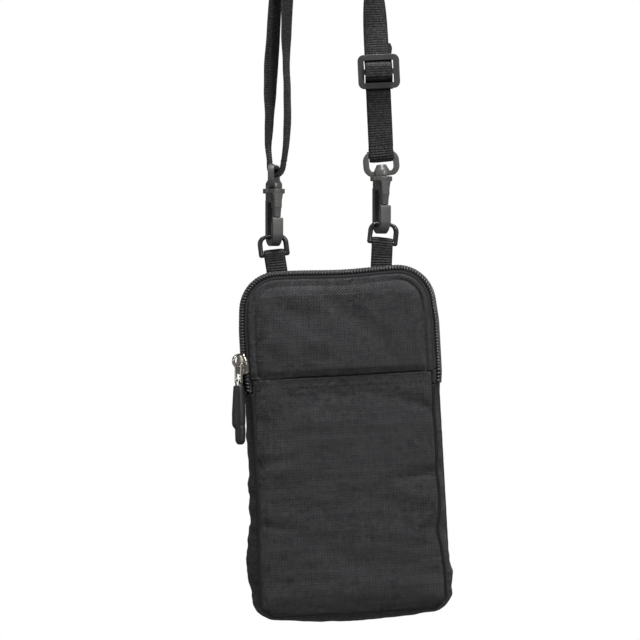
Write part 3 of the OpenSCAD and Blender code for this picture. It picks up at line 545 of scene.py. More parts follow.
def gathered_wall(point):
    nz, length = point[3:]
    swell, start = lobe(point), seam_in(point)
    outer = []
    for t in steps(18):
        pucker = 0.8 * wave(length / 6.5, t * 1.3, 2.0) + 0.4 * wave(length / 2.8, t * 2, 6.0)
        pucker *= math.sin(math.pi * min(1, t * 1.1 + 0.04)) ** 0.8 * (1 - 0.6 * abs(nz))
        out = -start * through(wall_base, t) + swell * through(wall_lobe, t) + pucker
        y = FRONT_Y + 22.2 * t + 0.35 * wave(length / 9, 9.0) * math.sin(math.pi * t)
        outer.append((out, y, 24 * t))
    return both_faces(outer)


lower_wall = swept("lower_side_wall", rim(False, WALL_END), gathered_wall, *SHELL, "pouch")
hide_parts("lower_gusset")


def plain_wall(point):
    z, length = point[1], point[4]
    low = ease((z - 28) / 16)
    outer = []
    for t in steps(12):
        swell = (0.3 + 0.6 * low) * math.sin(math.pi * min(1, 0.05 + t)) ** 0.9
        pucker = 0.3 * wave(length / 4.5, t * 1.5, 5.0) * math.sin(math.pi * t)
        outer.append((-1.3 + swell + pucker, -6.86 + 17.2 * t, 18 * t))
    return both_faces(outer)


upper_wall = swept("upper_side_wall", rim(True, 28.0), plain_wall, *SHELL, "pouch")
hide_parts("upper_gusset")


# The back binding. A narrow woven tape folded over the raw edges of the back seam and sewn
# through, so it stands up as a small rounded rib all round the back.
def tape_cloth(name, colour, rib=0.8, roughness=0.7):
    """Narrow woven tape with fine ribs across it, with painted shade in the grooves between
    them.
    """
    cloth = Finish(name, roughness, colour, Sheen_Weight=0.03, Specular_IOR_Level=0.25)
    across, along = cloth.on_cloth()
    rise = along.ripple(rib)
    glint = cloth.speck(across / 0.6, along / rib)
    # The ribs are painted lighter on their crests and darker between them: painted shade in
    # the grooves.
    cloth.shade(rise * 0.5 + glint * 0.45, 0.5, 1.6)
    cloth.rough(0.82 - rise * 0.22)
    cloth.relief(rise + glint * 0.4, 0.12)
    return cloth.material


binding_tape = tape_cloth("binding_tape", (0.026, 0.026, 0.028))


def bead(out, y, half_out, half_y, count=12):
    """A rounded closed profile about a point, with its map round it."""
    return [(out + half_out * math.cos(2 * math.pi * k / count),
             y + half_y * math.sin(2 * math.pi * k / count),
             (half_out + half_y) * math.pi * k / count) for k in range(count)]


def binding(point):
    bulge = 0.12 * wave(point[4] / 3.0, 1.0)
    return bead(-0.75 + bulge, 10.7, 1.0, 1.3)


for name, over_top in (("back_binding_over_top", True), ("back_binding_under", False)):
    piece = swept(name, rim(over_top, 0.0), binding, binding_tape, "binding_tape", "pouch")
    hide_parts("back_binding")


# The lining. A loose bag of thin dark taffeta is sewn in with the foam behind it, so from
# inside only the taffeta shows; it ends at the zip tapes and at the fold.
lining = Finish("dark_taffeta", 0.55, (0.05, 0.05, 0.054), Sheen_Weight=0.15,
                Specular_IOR_Level=0.4)
run_across, run_along = lining.on_cloth()
slub = lining.noise(lining.in_space(), 1.6, 3, (1, 1, 6))
lining.shade(slub * 0.8 + lining.speck(run_across / 0.5, run_along / 0.5) * 0.2)
lining.rough(0.4 + slub * 0.3)
lining.relief(slub + (run_along * 9).apply("SINE") * 0.2, 0.06)
TAFFETA = (lining.material, "lining")

LINING_IN, LINING_BACK, LINING_SAG = 3.0, 7.4, 0.35


def outline_ring(depth):
    """Closed loop of points inside the outline, at the depth given for each height."""
    ring = []
    top, base = rim(True, 0.0, 2.4), rim(False, 0.0, 2.4)
    for x, z, nx, nz, _ in top[:-1] + base[::-1][:-1]:
        ring.append((x - nx * LINING_IN, depth(z), z - nz * LINING_IN))
    return ring


def side_depth(z, t):
    """Depth of the lining's side: it starts behind the zip above, at the front below."""
    return (-7.3 + 3.0 * ease((z - 26) / 4)) * (1 - t) + LINING_BACK * t


def thicken(piece, thick, offset=-1):
    wall = piece.modifiers.new("cloth", "SOLIDIFY")
    wall.thickness = thick / 1000
    wall.offset = offset


layers = []
for t in (0, 0.12, 0.3, 0.5, 0.7, 0.88, 0.97):
    layers.append([(x * (1 - LINING_SAG * 0.02 * wave(z / 9, t * 3)), y, z)
                   for x, y, z in outline_ring(lambda z: side_depth(z, t))])
for shrink in (0.97, 0.9, 0.75, 0.55, 0.3, 0.04):
    layers.append([(x * shrink,
                    y + LINING_SAG * wave(x * shrink / 20, z * shrink / 14, 2.0), z * shrink)
                   for x, y, z in outline_ring(lambda z: LINING_BACK)])
tube = tube_faces(len(layers), len(layers[0]))
bag = add_piece(
    "lining_bag", [on_pouch(*spot) for ring in layers for spot in ring],
    [(a, d, c, b) for a, b, c, d in tube[:-2]] + tube[-1:],
    [(x + y, z) for ring in layers for x, y, z in ring], *TAFFETA, "pouch", close=False)
thicken(bag, 0.4, 1)
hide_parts("back_lining", "gusset_lining", "back_padding")


def front_lining_face(x, z):
    return -7.5 + 0.3 * wave(x / 16, z / 11, 4.0)


front_lining = layered(
    "lining_front", heights(-86, 33.5, 3, 5), [0, 1, 2.5, 4, 6, 9],
    *sides(4.4), lambda x, z: front_lining_face(x, z) - 0.5, front_lining_face, *TAFFETA,
    "pouch")
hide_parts("front_lining", "front_padding")


# The front and its slip pocket. The padded front panel hides behind a flat patch pocket of
# the same cloth, whose mouth is turned under in a wide hem just below the fold of the flap.
def front_left(z):
    return -(46.4 + 1.2 * ease((-20 - z) / 45)) + 1.1 * ease((z - 24) / 7)


def front_right(z):
    return 46.6 - strays(z) - 1.5 * ease((z - 24) / 7)


def corner_in(side, z):
    """Draws a side in where the bottom corner rounds off."""
    over = max(0.0, -z - 79.9)
    return side - math.copysign(6.6 - math.sqrt(max(43.6 - over * over, 0)), side)


def front_sides(inset):
    """Left and right side of a panel of the lower front, by height."""
    return ((lambda z: corner_in(front_left(z), z) + inset),
            (lambda z: corner_in(front_right(z), z) - inset))


# Creases that run in from the side seams: side, height, depth, width, reach and slope.
seam_creases = [(1, 14.8, 1.0, 2.6, 13, 0.35), (1, -16.3, 0.9, 2.4, 16, -0.2),
                (1, -47.4, 0.8, 3.0, 12, 0.25), (-1, -11, 0.9, 2.8, 15, 0.25),
                (-1, -38.7, 1.0, 2.4, 12, -0.3), (-1, 13, 0.8, 3.0, 12, 0.1),
                (1, -70, 0.5, 4.0, 14, 0.3), (-1, -66, 0.6, 4.0, 12, -0.25)]

POCKET_TOP, HEM_H = 34.4, 5.2


def pocket_front(x, z):
    z_in = z + 88.2 - 2.4 * (x / 42) ** 2
    d = min(x - front_left(z), front_right(z) - x, z_in)
    d = max(d, 0)
    top = POCKET_TOP - z
    swell = 2.5 * (1 - math.exp(-d / 3.6)) + 1.0 * (1 - math.exp(-d / 20))
    swell *= 0.35 + 0.65 * ease(top / 26) if top < 26 else 1
    swell = max(swell, 1.9 * (1 - math.exp(-d / 3.0)))
    folds = 0.9 * wave(x / 34, z / 17, 1.0) + 0.5 * wave(x / 17, z / 8, 5.0)
    folds += 0.22 * wave(x / 30, z / 3.4, 7.0)
    seam = 0.22 * wave(z / 2.7, x / 9, 3.3) * math.exp(-d / 5)
    for side, z0, depth, width, reach, slope in seam_creases:
        run = HALF_W - 4 - side * x
        off = z - z0 - slope * run
        folds -= 1.7 * depth * math.exp(-(off / width) ** 2) * math.exp(-run / reach)
    calm = ease(d / 5) * (0.25 + 0.75 * ease(top / 9))
    return FRONT_Y - swell - (folds * calm + seam * min(1, d / 1.5))


def gapes(x):
    """1 where the pocket's mouth is open, 0 where it is sewn shut beside the zip."""
    return ease((x + 32) / 4) * ease((43.5 - x) / 2)


def hem_proud(x, z):
    """The hem stands over the pocket, down to its stitched line."""
    top = POCKET_TOP - z
    rise = 0.45 * ease((5.6 - top) / 1.3) - 0.1 * math.exp(-((top - HEM_H) / 0.35) ** 2)
    return rise * (0.35 + 0.65 * gapes(x)) + 0.4 * gapes(x) * ease((1.6 - top) / 1.6)


pocket_rows = heights(-86.9, 28, 1.3, 7.0)
pocket_rows += [28.5, 28.8, 29.1, 29.4, 29.7, 30.1, 30.7, 31.4, 32.2, 33.0, 33.7, 34.1, 34.3,
                POCKET_TOP]
pocket = layered(
    "front_pocket", pocket_rows, fine_edge, *front_sides(0),
    lambda x, z: pocket_front(x, z) - hem_proud(x, z) * ease((x - front_left(z)) / 2)
    * ease((front_right(z) - x) / 2) + 0.3 * ease((z - 34.1) / 0.3),
    lambda x, z: pocket_front(x, z) + 0.9, *SHELL, "pouch")
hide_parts("pocket_panel", "pocket_hem")

front_panel = layered(
    "front_panel_cloth", heights(-85.4, 31, 4, 5), [0, 0.6, 1.4, 2.5, 4],
    *front_sides(0.6), lambda x, z: -11.4, lambda x, z: -10.9, *SHELL, "pouch")
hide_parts("front_panel")


def fold_strip(name, line, half, count, ruffle, finish, slot, thick, start, end):
    """Cloth across the pouch along the fold of the flap, fixed in place. The line gives
    (height, depth), and ruffle(x, z) is added to the depth."""
    points, cloth_map = [], []
    for z, y in line:
        for k in range(count + 1):
            x = -half + 2 * half * k / count
            points.append(pouch_frame @ Vector((x, y + ruffle(x, z), z)))
            cloth_map.append((x, z))
    piece = add_piece(name, points, grid_faces(len(line), count + 1), cloth_map, finish, slot,
                      None, close=False)
    thicken(piece, thick)
    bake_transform(piece)


def shut_mouth(x, z):
    """The fold draws back where the pocket's mouth is open."""
    shut = 1.3 * (1 - gapes(x)) * math.exp(-((z - 34.8) / 1.3) ** 2)
    return 0.2 * wave(x / 9, z / 4) - shut


fold_line = [(27.0, -11.6), (29.5, -11.8), (31.5, -11.9), (33.2, -12.0), (34.0, -12.1),
             (34.8, -12.2), (35.6, -12.1), (36.6, -12.0), (38.2, -11.9), (40.0, -11.8)]
fold_strip("fold_cloth", fold_line, 43.4, 60, shut_mouth, *SHELL, 0.5, (-12, 33.0),
           (-12, 37.4))
inner_line = [(30.0, -7.0), (32.0, -6.9), (33.6, -6.85), (35.0, -6.8), (36.4, -6.85),
              (38.0, -6.9), (40.5, -7.0)]
fold_strip("lining_fold", inner_line, 43.0, 30, lambda x, z: 0.15 * wave(x / 9, z / 4),
           *TAFFETA, 0.4, (-7, 31.5), (-7, 39.0))


# The front piping. A thin corded edge is caught in the seam between the pocket and the side
# wall and draws a dark line round the lower front.
piping_black = tape_cloth("piping_black", (0.007, 0.007, 0.0075), 0.7, 0.8)


def piping(point):
    return bead(-seam_in(point) - 0.1, -12.1, 0.95, 0.7, 10)


front_piping = swept("front_piping_cord", rim(False, WALL_END), piping, piping_black,
                     "binding_tape", "pouch")
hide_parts("front_piping")


# The flap. The padded top of the front folds out on the line above the pocket; a flat edge
# band runs beside the zip, and the foam starts at a stitched groove with a raised shoulder.
FOLD_Z, FLAP_IN = 35.4, 4.4
flap_profile = [(4.4, -0.1), (4.8, 0.5), (5.6, 0.85), (6.6, 0.8), (7.3, 0.15), (7.6, 0.1),
                (8.2, 1.0), (9.2, 1.9), (11, 2.6), (14, 3.1), (20, 3.4), (45, 3.7)]


def flap_front(x, z):
    d = inside(x, z)
    depth = through(flap_profile, d)
    depth += 0.75 * math.exp(-((d - 7.4) / 0.6) ** 2) * (1 - ease((x - 22) / 20))
    run = (z if abs(x) > 32 else x) if z < 84 else x
    pucker = wave(run / 2.6, 3.0, abs(x) / 60) * math.exp(-abs(d - 9) / 2.6) * 0.4
    folds = 0.9 * wave(x / 26 + 3, z / 15, 2.0) + 0.4 * wave(x / 11, z / 8, 9.0)
    folds += 0.8 * wave((x - z) / 40, (x + z) / 13, 4.0)
    folds += 0.7 * wave(x / 5, z / 30, 6.0) * ease((z - 66) / 10) * ease((84 - z) / 8)
    folds -= 0.8 * math.exp(-((x + 41) / 5) ** 2 - ((z - 37.6) / 1.6) ** 2)
    calm = ease((d - 8) / 6)
    tuck = ease((z - FOLD_Z) / 3.5)
    depth = depth * (0.6 + 0.4 * tuck) + folds * calm * (0.3 + 0.7 * tuck) + pucker
    return -12.0 - depth


flap_rows = [35.0, 35.1, 35.3, 35.7, 36.2, 36.8, 37.4] + [38 + 0.9 * k for k in range(35)]
flap_rows += [69.4] + [70 + 15.6 * math.sin(math.radians(2.5 * k)) for k in range(37)]
flap = layered(
    "flap_cover", flap_rows, fine_edge, *sides(FLAP_IN),
    lambda x, z: flap_front(x, z) + 0.5 * gapes(x) * (1 - ease((z - 35.0) / 0.5)),
    lambda x, z: -11.15, *SHELL, "flap")
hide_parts("flap_panel", "flap_ridge")


def flap_inner(x, z):
    d = inside(x, z)
    return -10.9 + 3.4 * (1 - math.exp(-max(d - 8.4, 0) / 1.2)) + 0.25 * wave(x / 15, z / 10)


flap_lining = layered(
    "flap_lining_pad", heights(FOLD_Z + 0.1, 81.6, 2, 0, 11.6), [0, 0.5, 1, 1.7, 2.6, 4, 6, 9],
    *sides(8.4), lambda x, z: -11.1, flap_inner, *TAFFETA, "flap")
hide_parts("flap_lining", "flap_padding")


# Stitches. Black thread in a lock stitch holds the flap's groove and the pocket's hem; each
# stitch is a small bead of thread that lies in its cloth.
def bead_row_tree():
    """Beads of one size at even steps along a line, turned to the line's side vectors."""
    tree = bpy.data.node_groups.new("bead_row", "GeometryNodeTree")
    for name, kind in (("Line", "Geometry"), ("Step", "Float"), ("Size", "Vector"),
                       ("Slant", "Vector"), ("Finish", "Material")):
        tree.interface.new_socket(name, in_out="INPUT", socket_type="NodeSocket" + kind)
    tree.interface.new_socket("Beads", in_out="OUTPUT", socket_type="NodeSocketGeometry")

    def step(kind, settings=None, sockets=None):
        return add_node(tree, kind, settings, sockets).outputs[0]

    given = add_node(tree, "NodeGroupInput").outputs
    curve = step("GeometryNodeMeshToCurve", None, {0: given["Line"]})
    even = step("GeometryNodeResampleCurve", {"mode": "LENGTH"},
                {"Curve": curve, "Length": given["Step"]})
    ball = step("GeometryNodeMeshUVSphere", None,
                {"Segments": 8, "Rings": 5, "Radius": 0.5})
    sized = step("GeometryNodeTransform", None, {"Geometry": ball, "Scale": given["Size"]})
    tangent = step("GeometryNodeInputTangent")
    side = step("GeometryNodeInputNamedAttribute", {"data_type": "FLOAT_VECTOR"},
                {"Name": "side"})
    facing = step("FunctionNodeAlignRotationToVector", {"axis": "Z"}, {"Vector": tangent})
    rolled = step("FunctionNodeAlignRotationToVector", {"axis": "X", "pivot_axis": "Z"},
                  {"Rotation": facing, "Vector": side})
    euler = step("FunctionNodeEulerToRotation", None, {0: given["Slant"]})
    slanted = step("FunctionNodeRotateRotation", {"rotation_space": "LOCAL"},
                   {"Rotation": rolled, "Rotate By": euler})
    beads = step("GeometryNodeInstanceOnPoints", None,
                 {"Points": even, "Instance": sized, "Rotation": slanted})
    real = step("GeometryNodeRealizeInstances", None, {0: beads})
    painted = step("GeometryNodeSetMaterial", None,
                   {"Geometry": real, "Material": given["Finish"]})
    add_node(tree, "NodeGroupOutput", None, {0: painted})
    return tree


bead_tree = bead_row_tree()


def bead_row(name, lines, spacing, size, slant, finish, body):
    """Beads along lines of (point, side vector), made one mesh that rides on a body."""
    mesh = bpy.data.meshes.new(name)
    points, edges, sides = [], [], []
    for line in lines:
        first = len(points)
        points += [p for p, side in line]
        sides += [side for p, side in line]
        edges += [(k, k + 1) for k in range(first, len(points) - 1)]
    mesh.from_pydata(points, edges, [])
    across = mesh.attributes.new("side", "FLOAT_VECTOR", "POINT")
    across.data.foreach_set("vector", [c for side in sides for c in side])
    line = placed(name + "_line", mesh)
    made = line.modifiers.new("beads", "NODES")
    made.node_group = bead_tree
    values = {"Step": spacing / 1000, "Size": [s / 1000 for s in size],
              "Slant": [0.0, math.radians(slant), 0.0], "Finish": finish}
    for item in bead_tree.interface.items_tree:
        if item.name in values and item.in_out == "INPUT":
            made[item.identifier] = values[item.name]
    bpy.context.view_layer.update()
    graph = bpy.context.evaluated_depsgraph_get()
    result = bpy.data.meshes.new_from_object(line.evaluated_get(graph))
    result.name = name
    bpy.data.objects.remove(line)
    return mounted(name, result, body)


thread = Finish("black_thread", 0.5, (0.03, 0.03, 0.032), Specular_IOR_Level=0.5)
strand = thread.noise(thread.in_space(), 0.3, 2)
thread.shade(strand, 0.6, 1.9)
thread.relief(strand, 0.05)


def on_front(x, y, z):
    """A direction given in the pouch's own frame."""
    return (pouch_frame.to_3x3() @ Vector((x, y, z))).normalized()


STITCH, STITCH_STEP, STITCH_DEPTH, GROOVE_IN = (0.42, 0.3, 1.9), 2.4, 0.12, 7.45
hem_line = []
for k in range(83):
    x, z = -41.0 + k, POCKET_TOP - HEM_H
    spot = pouch_frame @ Vector((x, pocket_front(x, z) - STITCH_DEPTH, z))
    hem_line.append((spot, on_front(0, 0, 1)))
bead_row("hem_stitches", [hem_line], STITCH_STEP, STITCH, 0, thread.material,
         "pouch")

groove_line = []
for x, z, nx, nz, _ in rim(True, 37.5, 1.5):
    gx, gz = x - nx * GROOVE_IN, z - nz * GROOVE_IN
    spot = on_pouch(gx, flap_front(gx, gz) - STITCH_DEPTH, gz)
    groove_line.append((spot, on_front(nx, 0, nz)))
bead_row("flap_stitches", [groove_line], STITCH_STEP, STITCH, 0, thread.material,
         "flap")


# The zip. Two woven tapes carry a nylon coil each; the coils mesh round the top of the pouch
# at forty-five degrees to the front, and they part below the slider on the left.
coil_black = Finish("black_coil", 0.3, (0.028, 0.028, 0.03), Specular_IOR_Level=0.9)
scuff = coil_black.noise(coil_black.in_space(), 0.7, 2)
coil_black.shade(scuff, 0.6, 1.8)
coil_black.rough(0.24 + scuff * 0.18)
ZIP_TAPE = (tape_cloth("zip_tape", (0.02, 0.02, 0.022), 0.6, 0.75), "zip_chain")

CHAIN_IN, CHAIN_Y, Q = 1.9, -9.3, math.sqrt(0.5)


def chain_point(c, n):
    """Outward distance and depth of a point c towards the flap and n off the tape."""
    return -CHAIN_IN - Q * c + Q * n, CHAIN_Y - Q * c - Q * n


def open_half(x, z):
    """How far a coil stands from the middle: apart below the slider on the left."""
    return 0.1 + 1.5 * ease((45.6 - z) / 3.0) if x < 0 else 0.1


# Outline of a tape's sewn end, as (outward, depth): towards the flap and towards the back.
tape_end = {1: [(-3.8, -11.2), (-8.2, -11.0), (-8.2, -10.5), (-4.2, -10.5)],
            -1: [(-1.1, -6.9), (-1.6, -4.4), (-2.1, -4.4), (-1.7, -6.7)]}


def tape_ring(side, point):
    """A thin tape from the chain's middle out to where it is sewn down."""
    half = 0.3
    slit = 0.15 + open_half(*point[:2])
    near = [chain_point(side * slit, n) for n in (half, -half)]
    knee = [chain_point(side * 2.5, n) for n in (half, -half)]
    ring = [near[0], knee[0], *tape_end[side], knee[1], near[1]]
    spread = [0, 2.3, 3, 6, 6, 3, 2.3, 0]
    return [(out, y, u) for (out, y), u in zip(ring, spread)]


def chain_row(path, side, first=0):
    """Line through the middle of one coil, with the way its loops point."""
    line = []
    for x, z, nx, nz, _ in path:
        out, y = chain_point(side * (0.42 + open_half(x, z)), 1.0)
        line.append((on_pouch(x + nx * out, y, z + nz * out), on_front(-nx, -1, -nz)))
    return line[first:]


def coil(name, lines, body):
    return bead_row(name, lines, 1.5, (2.7, 1.9, 1.0), 24, coil_black.material,
                    body)


full = rim(True, 28.2, 0.75)
over_fold = rim(True, 35.45, 0.75)
swept("zip_tape_flap", over_fold, lambda p: tape_ring(1, p), *ZIP_TAPE, "flap")
swept("zip_tape_pouch", full, lambda p: tape_ring(-1, p), *ZIP_TAPE, "pouch")
feet = []
for side, sign in (("right", 1), ("left", -1)):
    path = [(sign * HALF_W, 28.0 + 0.9 * k, sign, 0, 0.9 * k) for k in range(9)]
    end_tape = swept("zip_tape_foot_" + side, path, lambda p: tape_ring(1, p), *ZIP_TAPE,
                     "pouch")
    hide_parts("zip_front_end")
    feet.append(chain_row([p for p in path if p[1] > 29.6], 1))

flap_coil = coil("zip_coil_flap", [chain_row(over_fold, 1)], "flap")
pouch_coil = coil("zip_coil_pouch", [chain_row(full, -1, 1)], "pouch")
coil("zip_coil_feet", feet, "pouch")
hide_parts("zip_front")
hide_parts("zip_rear")


# Plated and moulded hardware. The slider, its wire loop and the clip are nickel-plated
# zinc and steel; hooks, gates, eyes, rings and the adjuster are satin black mouldings.
def softened(name, node, width, finish, slot, body, segments=2, angle=32, nudge=None,
             reshape=None):
    """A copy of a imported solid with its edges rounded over, standing for it. A nudge is a
    small move in metres that settles it against what it bears on; reshape moves each
    vertex a little, given where it is and which way it faces."""
    source = frame["nodes"][node]
    shape = bmesh.new()
    shape.from_mesh(source.data)
    bmesh.ops.remove_doubles(shape, verts=shape.verts, dist=2e-6)
    bmesh.ops.dissolve_limit(shape, angle_limit=math.radians(0.6), verts=shape.verts,
                             edges=shape.edges)
    sharp = [e for e in shape.edges if len(e.link_faces) == 2
             and e.calc_face_angle(0) > math.radians(angle)]
    bmesh.ops.bevel(shape, geom=sharp, offset=width / 1000, segments=segments,
                    profile=0.6, affect="EDGES", clamp_overlap=True)
    bmesh.ops.triangulate(shape, faces=[f for f in shape.faces if len(f.verts) > 4])
    if reshape:
        shape.normal_update()
        for v in shape.verts:
            v.co += reshape(v.co * 1000, v.normal) / 1000
    if nudge:
        shape.transform(nudge)
    mesh = bpy.data.meshes.new(name)
    shape.to_mesh(mesh)
    shape.free()
    mesh.materials.clear()
    mesh.materials.append(finish)
    piece = mounted(name, mesh, body)
    mesh.set_sharp_from_angle(angle=math.radians(38))
    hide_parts(node)


def moulding(name, colour, roughness, grain=0.5, depth=0.03):
    """Moulded nylon: fine matt grain, faint flow marks and small rubbed places."""
    plastic = Finish(name, roughness, colour, Specular_IOR_Level=0.5)
    space = plastic.in_space()
    pits = plastic.noise(space, grain, 2)
    flow = plastic.noise(space, 5, 2, (1, 1, 0.35))
    rubbed = plastic.band(plastic.noise(space, 2.6, 4), 0.56, 0.74)
    plastic.shade(flow * 0.55 + pits * 0.15 + rubbed * 0.35, 0.7, 1.6)
    plastic.rough(roughness - 0.06 + pits * 0.14 - rubbed * 0.08)
    plastic.relief(pits + flow * 0.4, depth)
    return plastic.material


def nickel_plate():
    plate = Finish("nickel_plate", 0.2, (0.52, 0.495, 0.435), Metallic=1.0)
    space = plate.in_space()
    scratch = plate.noise(space, 0.5, 3, (1, 6, 1))
    cloud = plate.noise(space, 3.5, 2)
    plate.shade(cloud * 0.7 + scratch * 0.3, 0.7, 1.25)
    plate.rough(0.08 + scratch * 0.16 + cloud * 0.08)
    plate.relief(scratch, 0.02)
    return plate.material


PLATED = (nickel_plate(), "nickel")
MOULDED = (moulding("satin_black_nylon", (0.078, 0.077, 0.075), 0.36), "hook_plastic")
adjuster_black = moulding("adjuster_black", (0.045, 0.045, 0.045), 0.3)
ring_black = moulding("ring_black", (0.024, 0.024, 0.025), 0.3, 0.7, 0.02)
grip_black = moulding("grip_black", (0.011, 0.011, 0.0115), 0.5, 0.35, 0.04)

Q_SIDE, Q_OUT = Vector((Q, -Q, 0)), Vector((-Q, -Q, 0))
slider_frame = pouch_frame @ Matrix.Translation((-47.1, -9.0, 45.5)) @ Matrix(
    (Q_SIDE, Q_OUT, (0, 0, 1))).transposed().to_4x4()
PULL_OUT = 0.9
pull_frame = slider_frame @ Matrix.Translation((0, 6.3 + PULL_OUT, -1.7)) @ turned("X", 4.5)


def lofted(name, parts, place, finish, slot, body):
    """Solids skinned over rings of points and capped at both ends."""
    points, faces = [], []
    for rings in parts:
        faces += tube_faces(len(rings), len(rings[0]), len(points))
        points += [place @ Vector(p) for ring in rings for p in ring]
    piece = add_piece(name, points, faces, [(0, 0)] * len(points), finish, slot, body)
    piece.data.set_sharp_from_angle(angle=math.radians(44))
    return piece


def oval(half_x, half_y, power, z, count=20, x=0.0, y=0.0):
    ring = []
    for k in range(count):
        a = 2 * math.pi * k / count
        c, s = math.cos(a), math.sin(a)
        ring.append((x + half_x * math.copysign(abs(c) ** (2 / power), c),
                     y + half_y * math.copysign(abs(s) ** (2 / power), s), z))
    return ring


SLIDER_MID, BOW_MID = -1.3, -0.4
slider_half = [(-7.3, 2.9), (-6.9, 3.4), (-5.8, 3.75), (-3, 3.8), (-0.5, 3.5), (1.4, 3.0),
               (2.6, 2.3), (3.3, 1.4), (3.6, 0.6)]


def slider_section(z):
    """The slider's cap across the zip: a domed plate with both flanges turned down."""
    w = through(slider_half, z)
    low = 3.3 - 1.7 * ease((2.2 - z) / 1.6)
    end = 0.45 * ease((z - 2.2) / 1.4) + 0.35 * ease((-6.6 - z) / 0.7)
    outer = [(-w, low), (-w, 3.3), (-w * 0.93, 3.72), (-w * 0.75, 4.0), (-w * 0.4, 4.22),
             (0, 4.3), (w * 0.4, 4.22), (w * 0.75, 4.0), (w * 0.93, 3.72), (w, 3.3), (w, low)]
    wall = min(0.7, w * 0.4)
    inner = [(w - wall, low), (w - wall, 3.0), (0, 3.15), (wall - w, 3.0), (wall - w, low)]
    return [(c + SLIDER_MID, n + 0.7 - end * (n > 3.2), z) for c, n in outer + inner]


cap = [slider_section(-7.3 + 10.9 * k / 36) for k in range(37)]
sole = [oval(through(slider_half, z) * 0.86, 0.55, 5, z, 20, SLIDER_MID, 0.55)
        for z in (-6.6, -6.3, -5, -3, -1, 1, 2.2, 2.9, 3.2)]
post = [oval(h, 1.5, 3, z, 12, SLIDER_MID, 2.6)
        for z, h in ((-1.4, 0.15), (-0.4, 0.5), (1.0, 0.7), (2.4, 0.6), (3.0, 0.4))]
bow = []
for k in range(25):
    a = math.pi * k / 24
    c, s = math.cos(a), math.sin(a)
    z = -0.4 + 3.4 * math.copysign(abs(c) ** 0.8, c)
    n = 4.3 + 6.1 * s ** 0.8
    out = Vector((0, s * 3.4, c * 6.1)).normalized()
    bow.append([(e[0] + BOW_MID, n + out.y * e[1], z + out.z * e[1])
                for e in oval(0.9, 0.6, 2.8, 0, 12)])
slider = lofted("slider_body", [cap, sole, post, bow], slider_frame, *PLATED, "zip_slider")
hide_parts("zip_slider")
drawn_out = Matrix.Translation((pouch_frame.to_3x3() @ Q_OUT) * PULL_OUT)
softened("slider_wire_loop", "pull_loop", 0.05, *PLATED, "pull_loop", nudge=drawn_out)
softened("slider_clip", "puller_clip", 0.15, *PLATED, "puller", nudge=drawn_out)

# Grip by height under the clip: half width and half thickness.
grip_half = [(-30.2, 1.0, 0.8), (-29.7, 1.9, 1.5), (-28.4, 2.6, 2.1), (-25, 2.8, 2.2),
             (-22.6, 2.8, 2.2), (-22.3, 2.85, 2.25), (-21.2, 3.4, 2.4), (-19.5, 3.8, 2.6),
             (-14, 3.85, 2.65), (-8, 3.4, 2.5), (-1.0, 2.9, 2.3), (-0.3, 2.7, 2.15),
             (0, 2.3, 1.8)]
grip_top = -11.2
grip_rings = []
for (z0, w0, t0), (z1, w1, t1) in zip(grip_half, grip_half[1:]):
    for t in steps(4)[:-1]:
        drop = z0 + (z1 - z0) * t
        ripple = 1 + 0.012 * math.sin(drop * 4.5) * (z0 < -22.5)
        grip_rings.append(oval((w0 + (w1 - w0) * t) * ripple, t0 + (t1 - t0) * t, 2.6,
                               grip_top + drop, 24, 1.2 * ease((-20.2 - drop) / 2.5)))
grip_rings.append(oval(2.3, 1.8, 2.6, grip_top, 24))
grip = lofted("slider_grip", [grip_rings], pull_frame, grip_black, "grip_rubber", "puller")
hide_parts("puller_grip")
stop_metal = Finish("dark_stop", 0.35, (0.09, 0.088, 0.085), Metallic=1.0)
softened("zip_end_stops", "zip_stops", 0.25, stop_metal.material, "nickel", "pouch")


def about(x, z, axis, degrees, wide=1.0, tall=1.0):
    """A turn about a line through (x, 0, z) in the frame of the whole part."""
    here = metres @ Matrix.Translation((x, 0, z))
    return here @ turned(axis, degrees) @ Matrix.Diagonal((wide, 1, tall, 1)) @ here.inverted()


SIDES = (("left", -1), ("right", 1))
HOOK_X, HOOK_Z, HOOK_RISE, HOOK_TURN = 27.765, -172, 3.212, -68
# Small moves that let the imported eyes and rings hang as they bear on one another.
settle = {"eye_left": about(-HOOK_X, -150, "Z", 15),
          "eye_right": about(HOOK_X, -137.7, "Y", -5),
          "ring_left": Matrix.Translation((-0.0009, 0, 0))
          @ about(-27.8, -175, "Y", 0, 0.94, 0.87),
          "ring_right": Matrix.Translation((0.0005, 0, 0)) @ about(28.3, -173.5, "Y", 13)
          @ about(27.8, -168.6, "Y", 0, 0.93, 0.89)}


def hook_place(sign):
    """The frame of a hook: X towards its gate, Z up from where the ring bears."""
    return (metres @ Matrix.Translation((HOOK_X * sign, 0, HOOK_Z + HOOK_RISE * sign))
            @ turned("Z", HOOK_TURN))


def fuller_sides(middle, start, more):
    return lambda co, face: face * (more * ease((abs(co.x - middle) - start) / 1.5))


def broader(sign, share):
    """Widens a hook or its gate by a share that varies over its side view."""
    place = hook_place(sign)
    side = (place.to_3x3() @ Vector((0, 1, 0))).normalized()

    def move(co, face):
        here = place.inverted() @ (co / 1000)
        return side * (here.y * share(here.x, here.z))
    return move


def hook_share(x, z):
    """A broad nose, and a root that narrows down to the gate."""
    nose = 0.17 * ease((x - 1.5) / 1.5) * ease((11 - z) / 0.8) * ease((z + 3) / 5)
    return nose - 0.16 * ease((x - 0.5) / 1.5) * ease((z - 14) / 0.5) * ease((19.5 - z) / 0.5)


